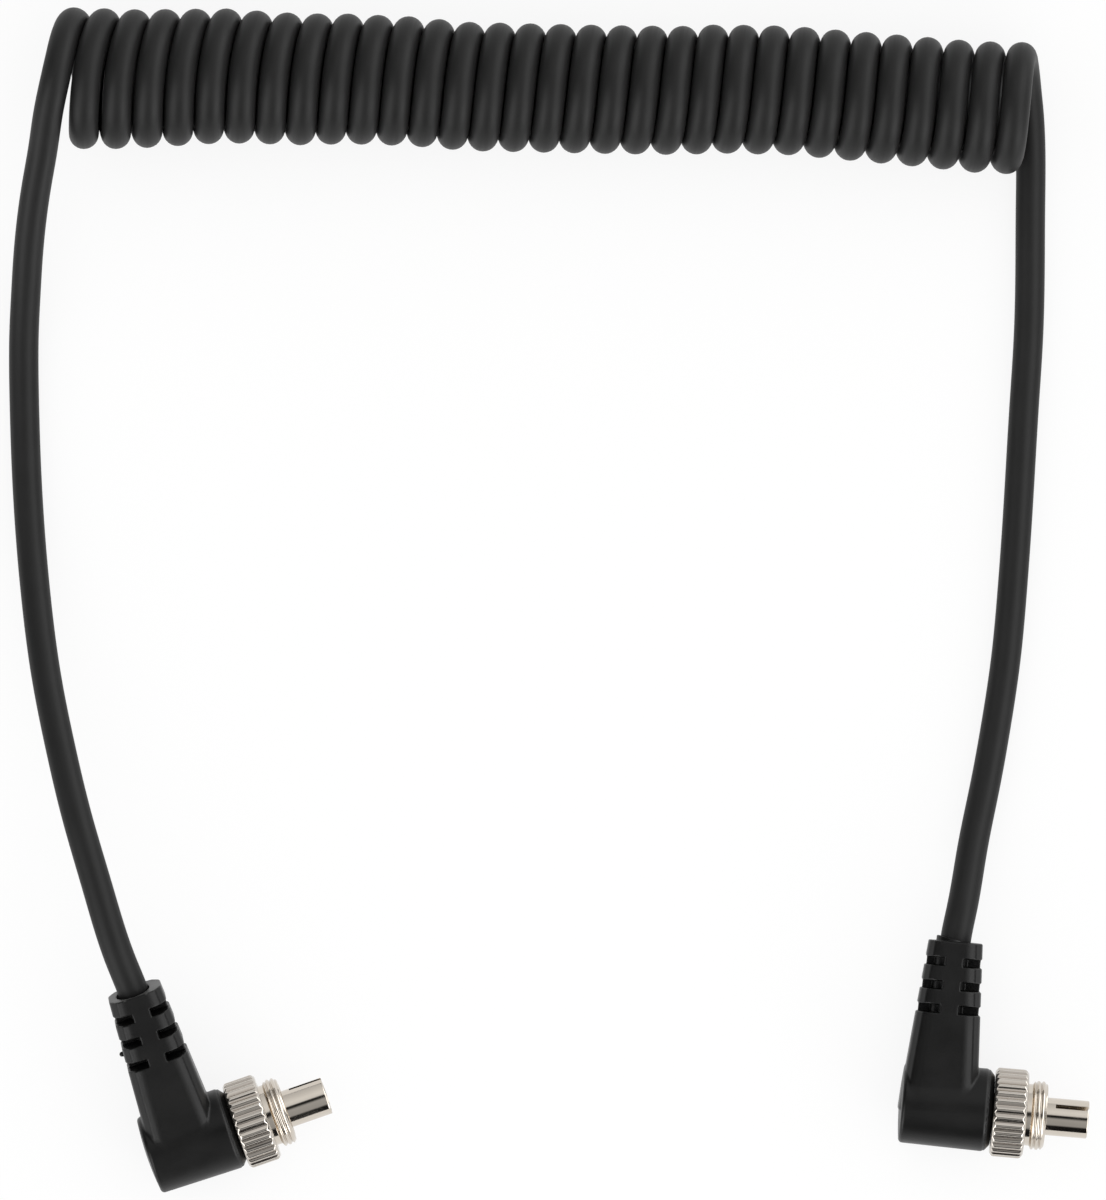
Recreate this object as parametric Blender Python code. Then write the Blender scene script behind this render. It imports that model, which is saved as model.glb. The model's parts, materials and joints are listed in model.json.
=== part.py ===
"""A coiled camera sync cord: two right-angle plugs with screw-lock rings on one curly cord.

The cord lies flat as on a table: +Z is up, the cord's coil runs along +X, and both leads come
down along -Y to a plug. The origin is on the table, in the middle of the two plugs.
Sizes are in millimetres and are turned into Blender's metres where a mesh is made.
Each plug is modelled in its own frame: x along the contact tube, from the cord's centre line
to the tip, y up the neck against the cord, z away from the table.
"""

import math

import bmesh
import bpy
import numpy as np
from mathutils import Matrix, Vector

MM = 0.001
GAP = 0.3  # air left between two pieces that touch

# Cord
CORD_DIAMETER = 3.45
CORD_SPACING = 8.0  # between the points of a lead

# Coil
COIL_TURNS = 31
COIL_START_X = -61.1  # the first turn's top
COIL_LENGTH = 109.75  # from the first turn's top to the last one's, before the last turns open
COIL_RADIUS = 5.71  # of the cord's centre line, in the middle of the coil
COIL_FLARE_LEFT = 0.73  # more radius at the left end
COIL_FLARE_LEFT_TURNS = 4.5
COIL_FLARE_RIGHT = 0.23  # more radius at the right end
COIL_OPENING_RIGHT = 0.71  # how far the last turn is pulled out of the row
COIL_OPENING_LEFT = 6.8  # how fast the cord leaves the first turn sideways
COIL_LEFT_RUN = 0.33  # turns from the left lead to the first top
COIL_RIGHT_RUN = 0.25  # turns from the last top to the right lead
POINTS_PER_TURN = 10
TURN_GAP = 0.44  # least air between two turns of the solid coil

# Plug housing
BARREL_WALL = 1.05
BARREL_DRAFT = 0.25  # more radius at the front than at the rear
BARREL_REAR = 4.85  # from the cord's centre line back to the barrel's end
BARREL_FRONT = 5.45  # and forward to its front edge
BARREL_DOME = 0.3
BARREL_REAR_ROUND = 0.4
BARREL_FRONT_ROUND = 0.5
COLLAR_WALL = 0.8
COLLAR_LENGTH = 0.3
NECK_LENGTH = 19.3  # from the plug's axis to the top of the strain relief
NECK_BASE_WIDTH = 8.75
NECK_TOP_WIDTH = 6.35
NECK_BASE_THICKNESS = 9.1
NECK_TOP_THICKNESS = 6.15
NECK_CORNER = 2.1
NECK_TOP_CHAMFER = 0.35
RELIEF_SLOTS = 3
SLOT_HEIGHT = 1.0
SLOT_PITCH = 2.75
FIRST_SLOT = 1.85  # from the relief's top down to its first slot
RELIEF_SPINE = 2.1
RELIEF_WEB = 1.1
RELIEF_WEB_RECESS = 0.15
CORD_SLEEVE_WALL = 0.42  # housing left round the cord between the slots

# Lock ring
RING_RADIUS = 5.2
RING_LENGTH = 3.9
RING_TEETH = 32
TOOTH_DEPTH = 0.3
RING_CHAMFER = 0.35
NOSE_WALL = 0.33  # of the ring's nose at its undercut
SHOULDER_CLEARANCE = 0.1  # from the thread out to the flat shoulder that a socket's face meets
SHOULDER_RELIEF = 0.15  # how deep the face is dished inside that shoulder
UNDERCUT_LENGTH = 0.6
THREAD_DEPTH = 0.49
THREAD_LENGTH = 1.73
THREAD_CHAMFER = 0.25
RING_LIP = 1.8  # inner lip that the sleeve's flange holds back

# Contacts
SLEEVE_RADIUS = 2.2
SLEEVE_WALL = 0.45
SLEEVE_TAIL = 0.6  # behind the ground tag
SLEEVE_TIP = 17.2
SLEEVE_EDGE = 0.15
FLANGE_WIDTH = 0.7  # how far the flange stands out
FLANGE_LENGTH = 0.6
SLIT_WIDTH = 0.4
SLIT_LENGTH = 3.7
PIN_RADIUS = 0.5
PIN_RECESS = 1.8  # the pin's tip behind the tube's mouth
SOLDER_RADIUS = 0.95
SOLDER_LENGTH = 2.2
INSULATOR_LENGTH = 11.0
INSULATOR_START = 0.2
BUSH_WALL = 0.7
BUSH_START = 0.7
BUSH_GROOVE = 0.3
TAG_THICKNESS = 0.4
TAG_WIDTH = 1.5
BORE_BACK_WALL = 0.95

# Cord end inside the neck
CORD_END = 7.0  # from the plug's axis
CORD_STRAIGHT = 4.0  # how far the cord leaves the neck before it bends
FERRULE_WALL = 0.35
FERRULE_LENGTH = 2.6
WIRE_DIAMETER = 1.1
PIGTAIL_DIAMETER = 1.0
PIGTAIL_LENGTH = 2.0
WIRE_OFFSET = 0.85

# Places of the two plugs on the table: axis meets cord at this point, turned this much about z,
# and rolled on its ring so that the neck is lifted by this much
PLUGS = {
    "left": {"x": -47.84, "y": -9.04, "turn": 19.1, "lift": 12.5, "slit": -85.5},
    "right": {"x": 39.80, "y": -4.76, "turn": -5.0, "lift": 0.0, "slit": -36.0},
}
# The coil's centre line seen from above, from left to right
COIL_AXIS = [
    (-66.0, 115.0), (-54.4, 114.8), (-48.6, 115.0), (-43.4, 115.2), (-34.7, 114.8), (-28.9, 114.8),
    (-21.9, 114.5), (-15.0, 113.9), (-8.0, 113.8), (2.5, 113.6), (9.5, 113.5), (14.1, 113.7),
    (22.3, 113.5), (29.3, 112.9), (36.3, 112.3), (43.8, 111.6), (50.0, 111.4),
]
# The leads between the coil and the plugs, from the coil's end on: x, y and the air under the cord
LEFT_LEAD = [
    (-64.7, 106.6, 8.87), (-65.2, 102.4, 6.67), (-65.85, 98.3, 4.77), (-66.3, 94.2, 3.07),
    (-66.6, 90.0, 1.67), (-66.85, 85.2, 0.67), (-66.85, 78.0, 0.1), (-66.6, 69.9, 0.25),
    (-66.15, 61.8, 1.1), (-65.35, 53.6, 2.7), (-64.25, 45.5, 4.8), (-62.65, 37.3, 7.0),
    (-60.7, 29.2, 8.7), (-58.25, 21.0, 9.3),
]
RIGHT_LEAD = [
    (50.35, 99.6, 0.0), (50.3, 92.0, 0.0), (50.1, 84.5, 0.0), (49.65, 77.3, 0.0),
    (49.2, 69.8, 0.0), (48.75, 62.4, 0.0), (48.2, 54.9, 0.0), (47.5, 47.5, 0.0),
    (46.4, 40.0, 0.02), (45.1, 32.7, 0.22), (43.5, 25.4, 1.27),
]

ROUND_STEPS = 36
SMALL_STEPS = 20
SHARP_ANGLE = 28  # edges past this stay sharp in the shading, in degrees

BLACK_CORD = ("cord_black", (0.022, 0.022, 0.023), 0.55, 0.0)
BLACK_HOUSING = ("housing_black", (0.014, 0.014, 0.015), 0.42, 0.0)
NICKEL = ("nickel", (0.62, 0.59, 0.54), 0.24, 1.0)
BRASS = ("brass", (0.68, 0.50, 0.23), 0.30, 1.0)
TINNED_COPPER = ("tinned_copper", (0.62, 0.55, 0.48), 0.38, 1.0)
NYLON = ("natural_nylon", (0.82, 0.80, 0.72), 0.50, 0.0)
WIRE_WHITE = ("wire_white", (0.78, 0.78, 0.76), 0.45, 0.0)


def material(name, colour, roughness, metallic):
    """The named material, made the first time it is asked for."""
    found = bpy.data.materials.get(name)
    if found:
        return found
    made = bpy.data.materials.new(name)
    made.use_nodes = True
    shader = made.node_tree.nodes["Principled BSDF"]
    shader.inputs["Base Color"].default_value = (*colour, 1.0)
    shader.inputs["Roughness"].default_value = roughness
    shader.inputs["Metallic"].default_value = metallic
    made.diffuse_color = (*colour, 1.0)
    return made


def finished(name, bm, finish):
    """Turns a bmesh in millimetres into a smooth-shaded object."""
    bmesh.ops.scale(bm, vec=Vector((MM, MM, MM)), verts=bm.verts)
    mesh = bpy.data.meshes.new(name)
    bm.to_mesh(mesh)
    bm.free()
    mesh.shade_smooth()
    mesh.set_sharp_from_angle(angle=math.radians(SHARP_ANGLE))
    mesh.materials.append(material(*finish))
    made = bpy.data.objects.new(name, mesh)
    bpy.context.scene.collection.objects.link(made)
    return made


def turned(profile, steps=ROUND_STEPS):
    """A bmesh spun about x from (x, radius) points, given front to back round the outside.

    A profile that starts and ends on the axis makes a solid; any other is closed into a ring.
    """
    bm = bmesh.new()
    points = [bm.verts.new((x, 0.0, radius)) for x, radius in profile]
    edges = [bm.edges.new(pair) for pair in zip(points, points[1:])]
    if profile[0][1] > 0.0:
        edges.append(bm.edges.new((points[-1], points[0])))
    bmesh.ops.spin(
        bm,
        geom=points + edges,
        cent=(0.0, 0.0, 0.0),
        axis=(1.0, 0.0, 0.0),
        angle=math.tau,
        steps=steps,
        use_merge=True,
    )
    bmesh.ops.remove_doubles(bm, verts=bm.verts, dist=1e-4)
    bmesh.ops.recalc_face_normals(bm, faces=bm.faces)
    return bm


def turned_y(profile, steps=ROUND_STEPS):
    """The same about y, for pieces that sit on the cord in the neck."""
    bm = turned(profile, steps)
    bmesh.ops.rotate(bm, verts=bm.verts, matrix=Matrix.Rotation(math.radians(90), 3, "Z"))
    return bm


def box(low, high):
    """A box between two corners."""
    bm = bmesh.new()
    bmesh.ops.create_cube(bm, size=1.0)
    size = Vector(high) - Vector(low)
    bmesh.ops.scale(bm, vec=size, verts=bm.verts)
    bmesh.ops.translate(bm, vec=(Vector(high) + Vector(low)) / 2, verts=bm.verts)
    return bm


def arc(centre, radius, start, end, steps):
    """Points on an arc of a profile, angles in degrees."""
    angles = np.radians(np.linspace(start, end, steps + 1))
    return [(centre[0] + radius * math.cos(a), centre[1] + radius * math.sin(a)) for a in angles]


def cut(piece, cutter, operation="DIFFERENCE"):
    """Applies a Boolean of a bmesh on a piece, and takes the cutter away."""
    tool = finished(piece.name + "_cutter", cutter, BLACK_HOUSING)
    modifier = piece.modifiers.new(operation.lower(), "BOOLEAN")
    modifier.operation = operation
    modifier.solver = "EXACT"
    modifier.object = tool
    graph = bpy.context.evaluated_depsgraph_get()
    shaped = bpy.data.meshes.new_from_object(piece.evaluated_get(graph))
    piece.modifiers.clear()
    piece.data = shaped
    piece.data.set_sharp_from_angle(angle=math.radians(SHARP_ANGLE))
    bpy.data.objects.remove(tool)


def smooth_curve(route, spacing):
    """Points at an even spacing on the natural cubic spline through a route."""
    route = np.array(route, float)
    t = np.concatenate([[0.0], np.cumsum(np.linalg.norm(np.diff(route, axis=0), axis=1))])
    h = np.diff(t)
    count = len(route)
    system = np.eye(count)
    right = np.zeros_like(route)
    for i in range(1, count - 1):
        system[i, i - 1 : i + 2] = (h[i - 1], 2 * (h[i - 1] + h[i]), h[i])
        right[i] = 6 * ((route[i + 1] - route[i]) / h[i] - (route[i] - route[i - 1]) / h[i - 1])
    bend = np.linalg.solve(system, right)
    fine = np.linspace(0.0, t[-1], 60 * count)
    k = np.clip(np.searchsorted(t, fine, side="right") - 1, 0, count - 2)
    a = (t[k + 1] - fine)[:, None]
    b = (fine - t[k])[:, None]
    w = h[k][:, None]
    line = (bend[k] * a**3 + bend[k + 1] * b**3) / (6 * w)
    line += (route[k] / w - bend[k] * w / 6) * a + (route[k + 1] / w - bend[k + 1] * w / 6) * b
    run = np.concatenate([[0.0], np.cumsum(np.linalg.norm(np.diff(line, axis=0), axis=1))])
    even = np.linspace(0.0, run[-1], max(2, round(run[-1] / spacing)) + 1)
    return np.stack([np.interp(even, run, line[:, i]) for i in range(3)], axis=1)


def tube(name, points, diameter, finish, resolution=2):
    """A round cord or wire along points in millimetres, with closed ends."""
    curve = bpy.data.curves.new(name, "CURVE")
    curve.dimensions = "3D"
    curve.bevel_depth = diameter / 2 * MM
    curve.bevel_resolution = resolution
    curve.use_fill_caps = True
    spline = curve.splines.new("POLY")
    spline.points.add(len(points) - 1)
    for place, point in zip(spline.points, points):
        place.co = (*(np.array(point) * MM), 1.0)
    spline.use_smooth = True
    curve.materials.append(material(*finish))
    made = bpy.data.objects.new(name, curve)
    bpy.context.scene.collection.objects.link(made)
    return made


# Coil


def coil_tube_diameter():
    """The solid coil's own cord: the real one, or thinner where the turns would touch."""
    return min(CORD_DIAMETER, COIL_LENGTH / COIL_TURNS - TURN_GAP)


def coil_point(turn):
    """Centre line of the cord, turn counted from the first top; it winds back and down first."""
    share = turn / COIL_TURNS
    x = COIL_START_X + COIL_LENGTH * share
    if turn > 0:
        x += COIL_OPENING_RIGHT * share**8
    else:
        x -= COIL_OPENING_LEFT * turn**2 / (0.08 - turn)
    flare_left = COIL_FLARE_LEFT * math.exp(-max(turn, 0.0) / COIL_FLARE_LEFT_TURNS)
    radius = COIL_RADIUS + flare_left + COIL_FLARE_RIGHT * max(share, 0.0) ** 6
    axis_x, axis_y = np.array(COIL_AXIS).T
    angle = -math.tau * turn
    y = np.interp(x, axis_x, axis_y) + radius * math.cos(angle)
    z = radius + CORD_DIAMETER / 2 + radius * math.sin(angle)
    return np.array([x, y, z])


def coil_points():
    """The whole coil, with an end one cord diameter long, straight on, at each lead."""
    turns = np.arange(-COIL_LEFT_RUN, COIL_TURNS + COIL_RIGHT_RUN + 1e-6, 1 / POINTS_PER_TURN)
    turns = np.append(turns[turns < COIL_TURNS + COIL_RIGHT_RUN - 0.03], COIL_TURNS + COIL_RIGHT_RUN)
    wound = [coil_point(turn) for turn in turns]
    step = 0.01
    out_left = coil_point(turns[0]) - coil_point(turns[0] + step)
    out_right = coil_point(turns[-1]) - coil_point(turns[-1] - step)
    out_right[2] = 0.0
    left = wound[0] + out_left / np.linalg.norm(out_left) * CORD_DIAMETER
    right = wound[-1] + out_right / np.linalg.norm(out_right) * CORD_DIAMETER
    return np.array([left, *wound, right])


def least_gap(points, diameter):
    """Least air between parts of the coil that are at least half a turn apart, at its points."""
    apart = np.linalg.norm(points[:, None] - points[None], axis=2)
    order = np.abs(np.subtract.outer(np.arange(len(points)), np.arange(len(points))))
    return apart[order > POINTS_PER_TURN / 2].min() - diameter


def beyond(end, before, length):
    """The point a length further on than end, on the line from before."""
    out = np.array(end) - np.array(before)
    return np.array(end) + out / np.linalg.norm(out) * length


# Plugs


def plug_frame(side):
    """The plug's own frame as a matrix in metres."""
    place = PLUGS[side]
    height = max(RING_RADIUS, barrel_radius() + BARREL_DRAFT)  # it lies on its ring
    at = Vector((place["x"], place["y"], height)) * MM
    turn = Matrix.Rotation(math.radians(place["turn"]), 4, "Z")
    return Matrix.Translation(at) @ turn @ Matrix.Rotation(math.radians(place["lift"]), 4, "X")


def in_plug(side, point):
    """A point of the plug's own frame, in millimetres, as millimetres on the table."""
    return np.array(plug_frame(side) @ (Vector(point) * MM)) / MM


def neck_width(y):
    return NECK_BASE_WIDTH + (NECK_TOP_WIDTH - NECK_BASE_WIDTH) * y / NECK_LENGTH


def neck_thickness(y):
    return NECK_BASE_THICKNESS + (NECK_TOP_THICKNESS - NECK_BASE_THICKNESS) * y / NECK_LENGTH


def neck_section(y, inset=0.0):
    """A rounded rectangle across the neck, as points round the cord's line."""
    half_x = neck_width(y) / 2 - inset
    half_z = neck_thickness(y) / 2 - inset
    corner = max(NECK_CORNER - inset, 0.4)
    points = []
    for quarter, (sx, sz) in enumerate(((1, 1), (-1, 1), (-1, -1), (1, -1))):
        centre = (sx * (half_x - corner), sz * (half_z - corner))
        points += arc(centre, corner, 90 * quarter, 90 * quarter + 90, 4)
    return [(x, y, z) for x, z in points]


def neck():
    """The neck and strain relief, lofted through its sections, without slots."""
    bm = bmesh.new()
    sections = [
        neck_section(0.0),
        neck_section(NECK_LENGTH - NECK_TOP_CHAMFER),
        neck_section(NECK_LENGTH, NECK_TOP_CHAMFER),
    ]
    rings = [[bm.verts.new(point) for point in section] for section in sections]
    loops = []
    for ring in rings:
        loops.append([bm.edges.new(pair) for pair in zip(ring, ring[1:] + ring[:1])])
    for below, above in zip(loops, loops[1:]):
        bmesh.ops.bridge_loops(bm, edges=below + above)
    bm.faces.new(rings[0])
    bm.faces.new(rings[-1])
    bmesh.ops.recalc_face_normals(bm, faces=bm.faces)
    return bm


def sleeve_bore():
    """Radius of the hole through a piece that the sleeve passes."""
    return SLEEVE_RADIUS + GAP


def bush_radius():
    return sleeve_bore() + BUSH_WALL


def barrel_bore():
    return bush_radius() + GAP


def barrel_radius():
    """Outside radius at the barrel's rear."""
    return barrel_bore() + BARREL_WALL


def barrel_profile():
    """Outside of the barrel from its domed rear to the collar that the ring runs on."""
    rear = -BARREL_REAR
    dome_edge = (rear + BARREL_DOME * 0.4, barrel_radius() * 0.6)
    rear_round = arc(
        (rear + BARREL_DOME + BARREL_REAR_ROUND, barrel_radius() - BARREL_REAR_ROUND),
        BARREL_REAR_ROUND,
        180,
        90,
        4,
    )
    front_round = arc(
        (BARREL_FRONT - BARREL_FRONT_ROUND, barrel_radius() + BARREL_DRAFT - BARREL_FRONT_ROUND),
        BARREL_FRONT_ROUND,
        90,
        0,
        4,
    )
    collar_front = BARREL_FRONT + COLLAR_LENGTH
    collar = barrel_bore() + COLLAR_WALL
    front = [(BARREL_FRONT, collar), (collar_front, collar), (collar_front, 0.0)]
    return [(rear, 0.0), dome_edge, *rear_round, *front_round, *front]


def cord_bore():
    return CORD_DIAMETER / 2 + GAP


def ferrule_radius():
    return cord_bore() + FERRULE_WALL


def ferrule_seat():
    """Where the wide part of the neck's bore ends."""
    return CORD_END + GAP + FERRULE_LENGTH + GAP


def housing_hollow():
    """The space inside the housing: the barrel's bore with a stepped bore up the neck."""
    barrel = turned(
        [
            (-BARREL_REAR + BORE_BACK_WALL, 0.0),
            (-BARREL_REAR + BORE_BACK_WALL, barrel_bore()),
            (BARREL_FRONT + COLLAR_LENGTH + 1.0, barrel_bore()),
            (BARREL_FRONT + COLLAR_LENGTH + 1.0, 0.0),
        ]
    )
    hollow = finished("hollow", barrel, BLACK_HOUSING)
    wide = ferrule_radius() + GAP
    bore = turned_y(
        [
            (0.0, 0.0),
            (0.0, wide),
            (ferrule_seat(), wide),
            (ferrule_seat(), cord_bore()),
            (NECK_LENGTH + 1.0, cord_bore()),
            (NECK_LENGTH + 1.0, 0.0),
        ],
        steps=28,
    )
    cut(hollow, bore, "UNION")
    return as_bmesh(hollow)


def as_bmesh(piece):
    """The piece's mesh as a bmesh in millimetres again; the piece is taken away."""
    bm = bmesh.new()
    bm.from_mesh(piece.data)
    bmesh.ops.scale(bm, vec=Vector((1 / MM,) * 3), verts=bm.verts)
    bpy.data.objects.remove(piece)
    return bm


def slot_cutter(top):
    """One slot of the strain relief: all round but for the spine, the web and the cord's sleeve."""
    bottom = top - SLOT_HEIGHT
    reach = neck_width(0.0)
    slot = finished("slot", box((-reach, bottom, -reach), (reach, top, reach)), BLACK_HOUSING)
    margin = 0.5
    half_spine = RELIEF_SPINE / 2
    half_web = neck_width(top) / 2 - RELIEF_WEB_RECESS
    cut(slot, box((-half_spine, bottom - margin, -2 * reach), (half_spine, top + margin, 2 * reach)))
    web_low = (-half_web, bottom - margin, -RELIEF_WEB / 2)
    cut(slot, box(web_low, (half_web, top + margin, RELIEF_WEB / 2)))
    bore = cord_bore() if bottom > ferrule_seat() + CORD_SLEEVE_WALL else ferrule_radius() + GAP
    keep = bore + CORD_SLEEVE_WALL
    low, high = bottom - margin, top + margin
    cut(slot, turned_y([(low, 0.0), (low, keep), (high, keep), (high, 0.0)], 28))
    return as_bmesh(slot)


def elbow_housing(side):
    """The moulded right-angle housing with its strain relief."""
    piece = finished(side + "_elbow_housing", turned(barrel_profile(), 40), BLACK_HOUSING)
    cut(piece, neck(), "UNION")
    for number in range(RELIEF_SLOTS):
        cut(piece, slot_cutter(NECK_LENGTH - FIRST_SLOT - number * SLOT_PITCH))
    cut(piece, housing_hollow())
    return piece


def ring_start():
    """The lock ring's rear face, a running gap in front of the collar."""
    return BARREL_FRONT + COLLAR_LENGTH + GAP


def flange_start():
    return ring_start() + RING_LIP + GAP


def lock_ring(side):
    """The knurled ring with its short male thread; the thread's crests are left plain here."""
    start = ring_start()
    front = start + RING_LENGTH
    nose = front + UNDERCUT_LENGTH
    end = nose + THREAD_LENGTH
    recess = SLEEVE_RADIUS + FLANGE_WIDTH + GAP
    undercut = recess + NOSE_WALL
    thread = undercut + THREAD_DEPTH
    profile = [
        (start, sleeve_bore()),
        (start, RING_RADIUS - RING_CHAMFER),
        (start + RING_CHAMFER, RING_RADIUS),
        (front - RING_CHAMFER, RING_RADIUS),
        (front, RING_RADIUS - RING_CHAMFER),
        (front, thread + SHOULDER_CLEARANCE),
        (front - SHOULDER_RELIEF, undercut),
        (nose, undercut),
        (nose + THREAD_CHAMFER, thread),
        (end - THREAD_CHAMFER, thread),
        (end, thread - THREAD_CHAMFER),
        (end, recess),
        (start + RING_LIP, recess),
        (start + RING_LIP, sleeve_bore()),
    ]
    bm = turned(profile, 2 * RING_TEETH)
    tooth = math.tau / RING_TEETH
    for vert in bm.verts:
        radius = math.hypot(vert.co.y, vert.co.z)
        place = (math.atan2(vert.co.y, vert.co.z) / tooth) % 1.0
        if radius > RING_RADIUS - 1e-3 and 0.25 < place < 0.75:
            vert.co.yz = vert.co.yz * (1 - TOOTH_DEPTH / radius)
    return finished(side + "_lock_ring", bm, NICKEL)


def tag_back():
    """The ground tag's rear face, behind the bush."""
    return BUSH_START - GAP - TAG_THICKNESS


def contact_sleeve(side):
    """The outer contact: a thin tube with two slits, and a flange that keeps the ring on."""
    inside = SLEEVE_RADIUS - SLEEVE_WALL
    flange = flange_start()
    rear = tag_back() - SLEEVE_TAIL
    profile = [
        (rear, inside),
        (rear, SLEEVE_RADIUS),
        (flange, SLEEVE_RADIUS),
        (flange, SLEEVE_RADIUS + FLANGE_WIDTH),
        (flange + FLANGE_LENGTH, SLEEVE_RADIUS + FLANGE_WIDTH),
        (flange + FLANGE_LENGTH, SLEEVE_RADIUS),
        (SLEEVE_TIP - SLEEVE_EDGE, SLEEVE_RADIUS),
        (SLEEVE_TIP, SLEEVE_RADIUS - SLEEVE_EDGE),
        (SLEEVE_TIP, inside),
    ]
    piece = finished(side + "_contact_sleeve", turned(profile, 32), NICKEL)
    slit = box(
        (SLEEVE_TIP - SLIT_LENGTH, -SLIT_WIDTH / 2, -2 * SLEEVE_RADIUS),
        (SLEEVE_TIP + 1.0, SLIT_WIDTH / 2, 2 * SLEEVE_RADIUS),
    )
    turn = Matrix.Rotation(math.radians(PLUGS[side]["slit"]), 3, "X")
    bmesh.ops.rotate(slit, verts=slit.verts, matrix=turn)
    cut(piece, slit)
    return piece


def insulator_radius():
    return SLEEVE_RADIUS - SLEEVE_WALL - GAP


def insulator_bush(side):
    """The insulator that holds the pin in the middle of the tube."""
    hole = PIN_RADIUS + GAP
    end = INSULATOR_START + INSULATOR_LENGTH
    profile = [
        (INSULATOR_START, hole),
        (INSULATOR_START, insulator_radius()),
        (end, insulator_radius()),
        (end, hole),
    ]
    return finished(side + "_insulator_bush", turned(profile, SMALL_STEPS), NYLON)


def pin_tail():
    """The pin's rear end, just clear of the back of the barrel's bore."""
    return -BARREL_REAR + BORE_BACK_WALL + GAP


def centre_pin(side):
    """The inner contact, with a thicker solder end behind the insulator."""
    tip = SLEEVE_TIP - PIN_RECESS
    shoulder = pin_tail() + SOLDER_LENGTH
    profile = [
        (pin_tail(), 0.0),
        (pin_tail(), SOLDER_RADIUS),
        (shoulder, SOLDER_RADIUS),
        (shoulder, PIN_RADIUS),
        *arc((tip - PIN_RADIUS, 0.0), PIN_RADIUS, 90, 0, 4)[:-1],
        (tip, 0.0),
    ]
    return finished(side + "_centre_pin", turned(profile, SMALL_STEPS), BRASS)


def body_bush(side):
    """The turned bush that anchors the sleeve in the moulding, with a groove that the plastic grips."""
    end = BARREL_FRONT
    outside = bush_radius()
    middle = (BUSH_START + end) / 2
    quarter = (end - BUSH_START) / 8
    profile = [
        (BUSH_START, sleeve_bore()),
        (BUSH_START, outside),
        (middle - quarter, outside),
        (middle - quarter, outside - BUSH_GROOVE),
        (middle + quarter, outside - BUSH_GROOVE),
        (middle + quarter, outside),
        (end, outside),
        (end, sleeve_bore()),
    ]
    return finished(side + "_body_bush", turned(profile, 28), BRASS)


def tag_tip():
    """How far the ground tag reaches up the neck, towards the shield's pigtail."""
    return CORD_END - PIGTAIL_LENGTH - 2 * GAP


def ground_tag(side):
    """The solder tag behind the bush: a washer on the sleeve with a tail up the neck."""
    back = tag_back()
    front = back + TAG_THICKNESS
    washer = turned(
        [(back, sleeve_bore()), (back, bush_radius()), (front, bush_radius()), (front, sleeve_bore())],
        28,
    )
    piece = finished(side + "_ground_tag", washer, TINNED_COPPER)
    middle = (sleeve_bore() + bush_radius()) / 2
    tail = box((back, middle, -TAG_WIDTH / 2), (front, tag_tip(), TAG_WIDTH / 2))
    cut(piece, tail, "UNION")
    return piece


def crimp_ferrule(side):
    """The crimped tube that holds the cord's end in the neck."""
    start = CORD_END + GAP
    end = start + FERRULE_LENGTH
    profile = [
        (start, cord_bore()),
        (start, ferrule_radius()),
        (end, ferrule_radius()),
        (end, cord_bore()),
    ]
    return finished(side + "_crimp_ferrule", turned_y(profile, 24), TINNED_COPPER)


def core_wire(side):
    """The insulated core from the cord's end to the pin's solder end."""
    pin_x = pin_tail() + SOLDER_LENGTH / 2
    top = CORD_END - GAP
    bottom = SOLDER_RADIUS + GAP
    drop = top - bottom
    route = [
        (-WIRE_OFFSET, top, 0.0),
        (-WIRE_OFFSET, top - 0.12 * drop, 0.0),
        (0.45 * pin_x - 0.55 * WIRE_OFFSET, top - 0.5 * drop, 0.0),
        (pin_x, bottom + 0.2 * drop, 0.0),
        (pin_x, bottom, 0.0),
    ]
    points = smooth_curve(route, WIRE_DIAMETER)
    return tube(side + "_core_wire", points, WIRE_DIAMETER, WIRE_WHITE, 1)


def shield_pigtail(side):
    """The twisted shield from the cord's end to the ground tag's tail."""
    tag_x = tag_back() + TAG_THICKNESS / 2
    top = CORD_END - GAP
    bottom = top - PIGTAIL_LENGTH
    route = [
        (WIRE_OFFSET, top, 0.0),
        ((2 * WIRE_OFFSET + tag_x) / 3, (2 * top + bottom) / 3, 0.0),
        ((WIRE_OFFSET + 2 * tag_x) / 3, (top + 2 * bottom) / 3, 0.0),
        (tag_x, bottom, 0.0),
    ]
    points = smooth_curve(route, PIGTAIL_DIAMETER / 2)
    return tube(side + "_shield_pigtail", points, PIGTAIL_DIAMETER, TINNED_COPPER, 1)


def plug(side):
    """All pieces of one plug on an empty at its own frame."""
    frame = bpy.data.objects.new(side + "_plug", None)
    bpy.context.scene.collection.objects.link(frame)
    frame.matrix_world = plug_frame(side)
    frame.empty_display_size = SLEEVE_RADIUS * MM
    makers = (
        elbow_housing,
        body_bush,
        contact_sleeve,
        lock_ring,
        insulator_bush,
        centre_pin,
        ground_tag,
        crimp_ferrule,
        core_wire,
        shield_pigtail,
    )
    for make in makers:
        make(side).parent = frame


def cord():
    """The coil and the two leads, which end inside the plugs' necks."""
    wound = coil_points()
    tube("cord_coil", wound, coil_tube_diameter(), BLACK_CORD, 1)
    print(f"least gap in the coil: {least_gap(wound, coil_tube_diameter()):.3f} mm")
    ends = {"left": (wound[0], wound[1], LEFT_LEAD), "right": (wound[-1], wound[-2], RIGHT_LEAD)}
    heights = (NECK_LENGTH + CORD_STRAIGHT, NECK_LENGTH, CORD_END)
    for side, (end, before, lead) in ends.items():
        into_plug = [in_plug(side, (0.0, y, 0.0)) for y in heights]
        free = [(x, y, air + CORD_DIAMETER / 2) for x, y, air in lead]
        route = [beyond(end, before, GAP), *free, *into_plug]
        tube(f"cord_{side}_lead", smooth_curve(route, CORD_SPACING), CORD_DIAMETER, BLACK_CORD)


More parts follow.
